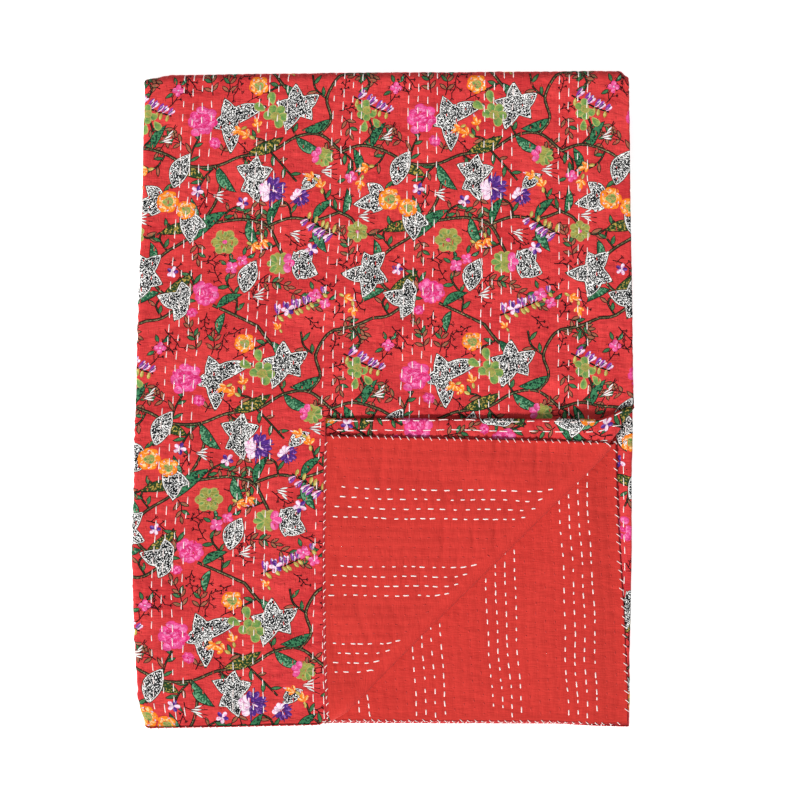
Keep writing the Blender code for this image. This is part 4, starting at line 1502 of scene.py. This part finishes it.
def textilePlace(flat, printed):
    # where a point lies in the weave: the reverse that shows on the roll is longer than its flat length
    place = np.column_stack([flat, np.zeros(len(flat))])
    if not printed:
        past, across = pastTheTurn(flat[:, 0], flat[:, 1])
        onFlap = (across > thirdLayer) * (flat[:, 1] > 0.0)
        longer = plainLook["rollLonger"] * past.clip(0.0, turnCloth) * onFlap
        place[:, :2] += longer[:, None] * aslant
    return place


def makeCloth(name, printed, look):
    points, flat, quads, triangles = clothFace(printed)
    mesh = newMesh(name, settled(points, flat), (quads, triangles))
    setAttribute(mesh, "clothPlace", "FLOAT_VECTOR", "POINT", textilePlace(flat, printed))
    if printed:
        inkFaces(mesh, flat)
    cloth = newPiece(name, mesh, makeClothMaterial(name.replace("Cloth", "Cotton"), look))
    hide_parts("quilt")
    2 * halfLength
    print(name, "has", len(points), "points and", 2 * len(quads) + len(triangles), "triangles")


makeCloth("printedCloth", True, printedLook)
makeCloth("plainCloth", False, plainLook)


# Threads: short tubes that lie on the cloth and dive in at both ends

threads = {
    "sides": 6,
    "endTaper": 0.6,
    "front": {"width": 0.0012, "pitch": 0.0166, "length": 0.0110, "redLength": 0.0050},
    "back": {"width": 0.0016, "pitch": 0.0125, "length": 0.0063, "redLength": 0.0032},
    "redWidth": 0.0012,
    "height": 0.0010,
    "redHeight": 0.0004,
    "pitchSpread": 0.13,         # how much the rows' pitches differ, as a share
    "unevenness": 0.0024,
    "sway": 0.0004,
    "flapStart": 0.0088,         # how far past the roll's start the flap's stitches begin
    "endGap": 0.004,             # from the ends of a field to its stitches
    "pathPoints": 6,
    "lift": 0.00022,
    "dive": 0.0009,
    "seed": 3,
}
threadRandom = np.random.default_rng(threads["seed"])
threadLook = {
    "white": ((250, 240, 236), (228, 206, 202)),
    "red": ((206, 56, 50), (180, 40, 37)),
    "roughness": 0.7,
    "sheen": 0.1,
    "specular": 0.3,
    "fibre": 0.6,                # millimetres
    "bump": 0.0002,
}

# Where rows show: on which face, from where to where across and along the quilt, and their first row
stitchFields = table(
    "kind printed first last origin way start end",
    ("top", True, outerFold + 0.004, rightFold + 0.001, topFirst, 1, -crossArc * 0.9, halfLength),
    ("strip", True, secondLayer, strip, topFirst, 1, -halfLength, halfLength),
    ("triangle", False, 0.0, triangle, stitching["firstOnLowest"], 1, 0.0, halfLength),
    ("flap", False, flap, quiltWidth, thirdFirst, -1, 0.0, halfLength))


def makeThreadMaterial(name, colour, shade):
    material, tree, shader = newMaterial(name, threadLook)
    fibre = noise(tree, addNode(tree, "TexCoord").outputs["Object"], 1000.0 / threadLook["fibre"], 2.0)
    colour = mixColours(tree, rangeOf(fibre, 0.3, 0.7), linear(shade), linear(colour))
    plug(tree, colour, shader.inputs["Base Color"])
    addBump(tree, shader, fibre, threadLook["bump"], 0.5)
    return material


def tubes(paths, normals, width, height):
    # paths and normals are arrays of stitches by points, and width and height one or one for each
    width, height = (np.broadcast_to(size, len(paths))[:, None, None, None] for size in (width, height))
    ahead = np.gradient(paths, axis=1)
    ahead /= np.linalg.norm(ahead, axis=2, keepdims=True)
    aside = np.cross(ahead, normals)
    aside /= np.linalg.norm(aside, axis=2, keepdims=True)
    up = np.cross(aside, ahead)
    angles = np.arange(threads["sides"]) * 2 * math.pi / threads["sides"]
    count, steps = paths.shape[:2]
    taper = np.ones(steps)
    taper[[0, -1]] = threads["endTaper"]
    taper = taper[None, :, None, None]
    around = (aside[:, :, None, :] * np.cos(angles)[None, None, :, None] * width / 2
              + up[:, :, None, :] * np.sin(angles)[None, None, :, None] * height / 2) * taper
    points = (paths[:, :, None, :] + around).reshape(-1, 3)
    number = np.arange(count * steps * threads["sides"]).reshape(count, steps, threads["sides"])
    a, b = number[:, :-1], number[:, 1:]
    sides = np.stack([a, np.roll(a, -1, axis=2), np.roll(b, -1, axis=2), b], axis=-1).reshape(-1, 4)
    return points, (sides, np.concatenate([number[:, 0, ::-1], number[:, -1]]))


def stitchSpans(first, last, pitch, length):
    # where the stitches of one row begin and end
    spans = []
    pitch = pitch * (1.0 + threadRandom.uniform(-1.0, 1.0) * threads["pitchSpread"])
    place = first + threadRandom.uniform(0.0, 0.3 * pitch)
    while place + length < last:
        own = length + threadRandom.uniform(-1.0, 1.0) * threads["unevenness"]
        spans.append((place, place + own))
        place += pitch + threadRandom.uniform(-1.0, 1.0) * threads["unevenness"]
    return spans


def rowsOf(field, white):
    # the u of a field's white or red rows
    rows = []
    for number in stitching["numbers"]:
        u = field["origin"] + field["way"] * number * rowPitch
        isWhite = number % stitching["rowsInGroup"] < stitching["whiteRows"]
        if field["first"] + threads["endGap"] < u < field["last"] - threads["endGap"] and isWhite == white:
            rows.append(u)
    return rows


def showing(u, along, kind):
    # whether a stitch there can be seen
    past, across = pastTheTurn(np.array([u]), np.array([along]))
    past, across = float(past[0]), float(across[0])
    if kind == "top":
        return past < 0.002 and outerFold < across < secondLayer
    if kind == "strip":
        return (past > 0.004 or along < 0.0) and across < strip
    if kind == "triangle":
        return past > -0.01
    return past > threads["flapStart"]


def rowStart(u, field):
    # the flap's rows start at the roll, and the others at the end of their field
    if field["kind"] != "flap":
        return field["start"] - threadRandom.uniform(0.0, 0.7) * threads["back"]["pitch"]
    along = np.linspace(field["start"], field["end"], 1200)
    past, _ = pastTheTurn(np.full(along.shape, u), along)
    return along[min(int((past > threads["flapStart"]).argmax()) + 2, len(along) - 1)]


def runningStitches(white):
    paths, normals, widths = [], [], []
    share = np.linspace(0.0, 1.0, threads["pathPoints"])
    lift = threads["lift"] - (threads["lift"] + threads["dive"]) * np.abs(2 * share - 1) ** 6
    for field in stitchFields:
        printed = field["printed"]
        own = threads["front" if printed else "back"]
        for u in rowsOf(field, white):
            spans = stitchSpans(rowStart(u, field), field["end"] - threads["endGap"], own["pitch"],
                                own["length" if white else "redLength"])
            spans = [span for span in spans if all(showing(u, along, field["kind"]) for along in span)]
            if not spans:
                continue
            spans = np.array(spans)
            along = spans[:, :1] + (spans[:, 1:] - spans[:, :1]) * share
            sway = threadRandom.uniform(-threads["sway"], threads["sway"], (len(spans), 2))
            across = u - wander(u, along) + sway[:, :1] + (sway[:, 1:] - sway[:, :1]) * share
            paths.append(facePoint(across, along, printed, np.broadcast_to(lift, along.shape)))
            normals.append(middleFrame(across, along)[2] * (1.0 if printed else -1.0))
            widths.append(np.full(len(spans), own["width"] if white else threads["redWidth"]))
    paths, normals, widths = (np.concatenate(parts) for parts in (paths, normals, widths))
    return tubes(paths + packetShift, normals, widths, threads["height" if white else "redHeight"])


# Whip stitches over the hem: each crosses the plain side aslant and goes round the edge. Inside is how
# far from the edge one starts on the plain side, and the ways point out of the cloth

whip = {
    "frontInside": 0.0004,
    "width": 0.0009,
    "height": 0.0008,
    "unevenness": 0.0009,
    "endGap": 0.005,             # from the quilt's corners to the first stitch
    "pathPoints": 9,
}
whipEdges = table(
    "name pitch slant inside wayU wayAlong",
    ("low", 0.0108, 0.0028, 0.0030, -1, 0), ("high", 0.0088, 0.0022, 0.0020, 1, 0),
    ("front", 0.0088, -0.0030, 0.0010, 0, 1), ("under", 0.0108, -0.0022, 0.0018, 0, -1))


def hemPoints(edge, along, across):
    # along runs along the edge, and across is the way round the hem, from 0 at the rim, positive on
    # the printed side
    wayU, wayAlong = edge["wayU"], edge["wayAlong"]
    inward = (np.abs(across) - hemHalf * halfPi).clip(0.0)
    angle = np.clip(across / hemHalf, -halfPi, halfPi)
    if wayU:
        u, v = np.full(along.shape, quiltWidth if wayU > 0 else 0.0) - wayU * inward, along
    else:
        u, v = along, wayAlong * (halfLength - inward)
    byU, byAlong, normal = middleFrame(u, v)
    out = byU * wayU + byAlong * wayAlong
    height = hemHalf + threads["lift"] + np.where(across < 0.0, hem["proud"], 0.0)
    outside = normal * np.sin(angle)[..., None] + out * np.cos(angle)[..., None]
    return middlePoint(u, v) + outside * height[..., None], outside


def whipStitches():
    paths, normals = [], []
    half = hemHalf * halfPi
    share = np.linspace(0.0, 1.0, whip["pathPoints"])
    for edge in whipEdges:
        first, last = (-halfLength, halfLength) if edge["wayU"] else (0.0, quiltWidth)
        count = round((last - first - 2 * whip["endGap"]) / edge["pitch"])
        place = first + whip["endGap"] + (np.arange(count) + 0.5) * edge["pitch"]
        place = place + threadRandom.uniform(-1.0, 1.0, count) * whip["unevenness"]
        inside = half + edge["inside"] + threadRandom.uniform(-1.0, 1.0, count) * whip["unevenness"]
        across = -inside[:, None] + (inside[:, None] + half + whip["frontInside"]) * share
        along = place[:, None] + edge["slant"] * (share - 0.5) * 2.0
        if edge["name"] == "front":      # none between the turned layers
            past, where = pastTheTurn(place, np.full(place.shape, halfLength))
            seen = (past < turnCloth) | (where < topLayer) | (where > thirdLayer)
            along, across = along[seen], across[seen]
        middle, outside = hemPoints(edge, along, across)
        dive = threads["dive"] * np.abs(2 * share - 1) ** 10
        paths.append(middle - outside * dive[None, :, None])
        normals.append(outside)
    paths, normals = np.concatenate(paths) + packetShift, np.concatenate(normals)
    keep = paths[:, :, 2].min(axis=1) > whip["height"] / 2
    return tubes(paths[keep], normals[keep], whip["width"], whip["height"])


def makeStitches(name, tubing, material):
    points, faces = tubing
    newPiece(name, newMesh(name, points, faces), material)
    print(name, "has", len(faces[1]) // 2, "stitches")


whiteThread = makeThreadMaterial("whiteThread", *threadLook["white"])
redThread = makeThreadMaterial("redThread", *threadLook["red"])
makeStitches("whiteStitches", runningStitches(True), whiteThread)
makeStitches("redStitches", runningStitches(False), redThread)
makeStitches("whipStitches", whipStitches(), whiteThread)


# The floor, light and camera

studio = {
    "floor": (226, 226, 226),
    "floorSize": 8.0,
    "floorLevel": -0.0004,
    "floorGlow": 0.8,
    "worldStrength": 0.37,
    # turns are degrees from the front to the right, and softness is the light's width in degrees
    "key": {"turn": -34.0, "elevation": 37.0, "softness": 12.0, "strength": 4.55},
}
camera = {
    "frameWidth": 0.9354,        # metres across the picture, at the packet's top
    "height": 3.2,
    "packetTop": 0.020,
    "sensor": 36.0,
    "lookAt": (0.0205, -0.0006),
}


def addObject(name, data):
    thing = bpy.data.objects.new(name, data)
    bpy.context.scene.collection.objects.link(thing)
    return thing


def makeFloor():
    mesh = bpy.data.meshes.new("floor")
    half = studio["floorSize"] / 2
    corners = [(-half, -half, 0), (half, -half, 0), (half, half, 0), (-half, half, 0)]
    mesh.from_pydata(corners, [], [(0, 1, 2, 3)])
    floor = addObject("floor", mesh)
    floor.location.z = studio["floorLevel"]
    material = bpy.data.materials.new("paleFloor")
    material.use_nodes = True
    shader = material.node_tree.nodes["Principled BSDF"]
    shader.inputs["Base Color"].default_value = linear(studio["floor"])
    shader.inputs["Roughness"].default_value = 0.9
    shader.inputs["Emission Color"].default_value = (1.0, 1.0, 1.0, 1.0)
    shader.inputs["Emission Strength"].default_value = studio["floorGlow"]
    mesh.materials.append(material)


def makeLight(name, settings):
    light = bpy.data.lights.new(name, "SUN")
    light.angle = math.radians(settings["softness"])
    light.energy = settings["strength"]
    lamp = addObject(name, light)
    lamp.rotation_euler = (math.radians(90.0 - settings["elevation"]), 0.0, math.radians(settings["turn"]))


def makeWorld():
    world = bpy.data.worlds.new("paleStudio")
    world.use_nodes = True
    back = world.node_tree.nodes["Background"]
    back.inputs["Color"].default_value = (1.0, 1.0, 1.0, 1.0)
    back.inputs["Strength"].default_value = studio["worldStrength"]
    bpy.context.scene.world = world


def makeCamera():
    data = bpy.data.cameras.new("camera")
    data.sensor_width = camera["sensor"]
    data.lens = camera["sensor"] * camera["height"] / camera["frameWidth"]
    data.clip_end = 50.0
    viewer = addObject("camera", data)
    viewer.location = (camera["lookAt"][0] + packetShift[0], camera["lookAt"][1] + packetShift[1],
                       camera["height"] + camera["packetTop"])
    bpy.context.scene.camera = viewer


makeFloor()
makeLight("keyLight", studio["key"])
makeWorld()
makeCamera()
bpy.context.scene.view_settings.view_transform = "Standard"
print("studio ready")
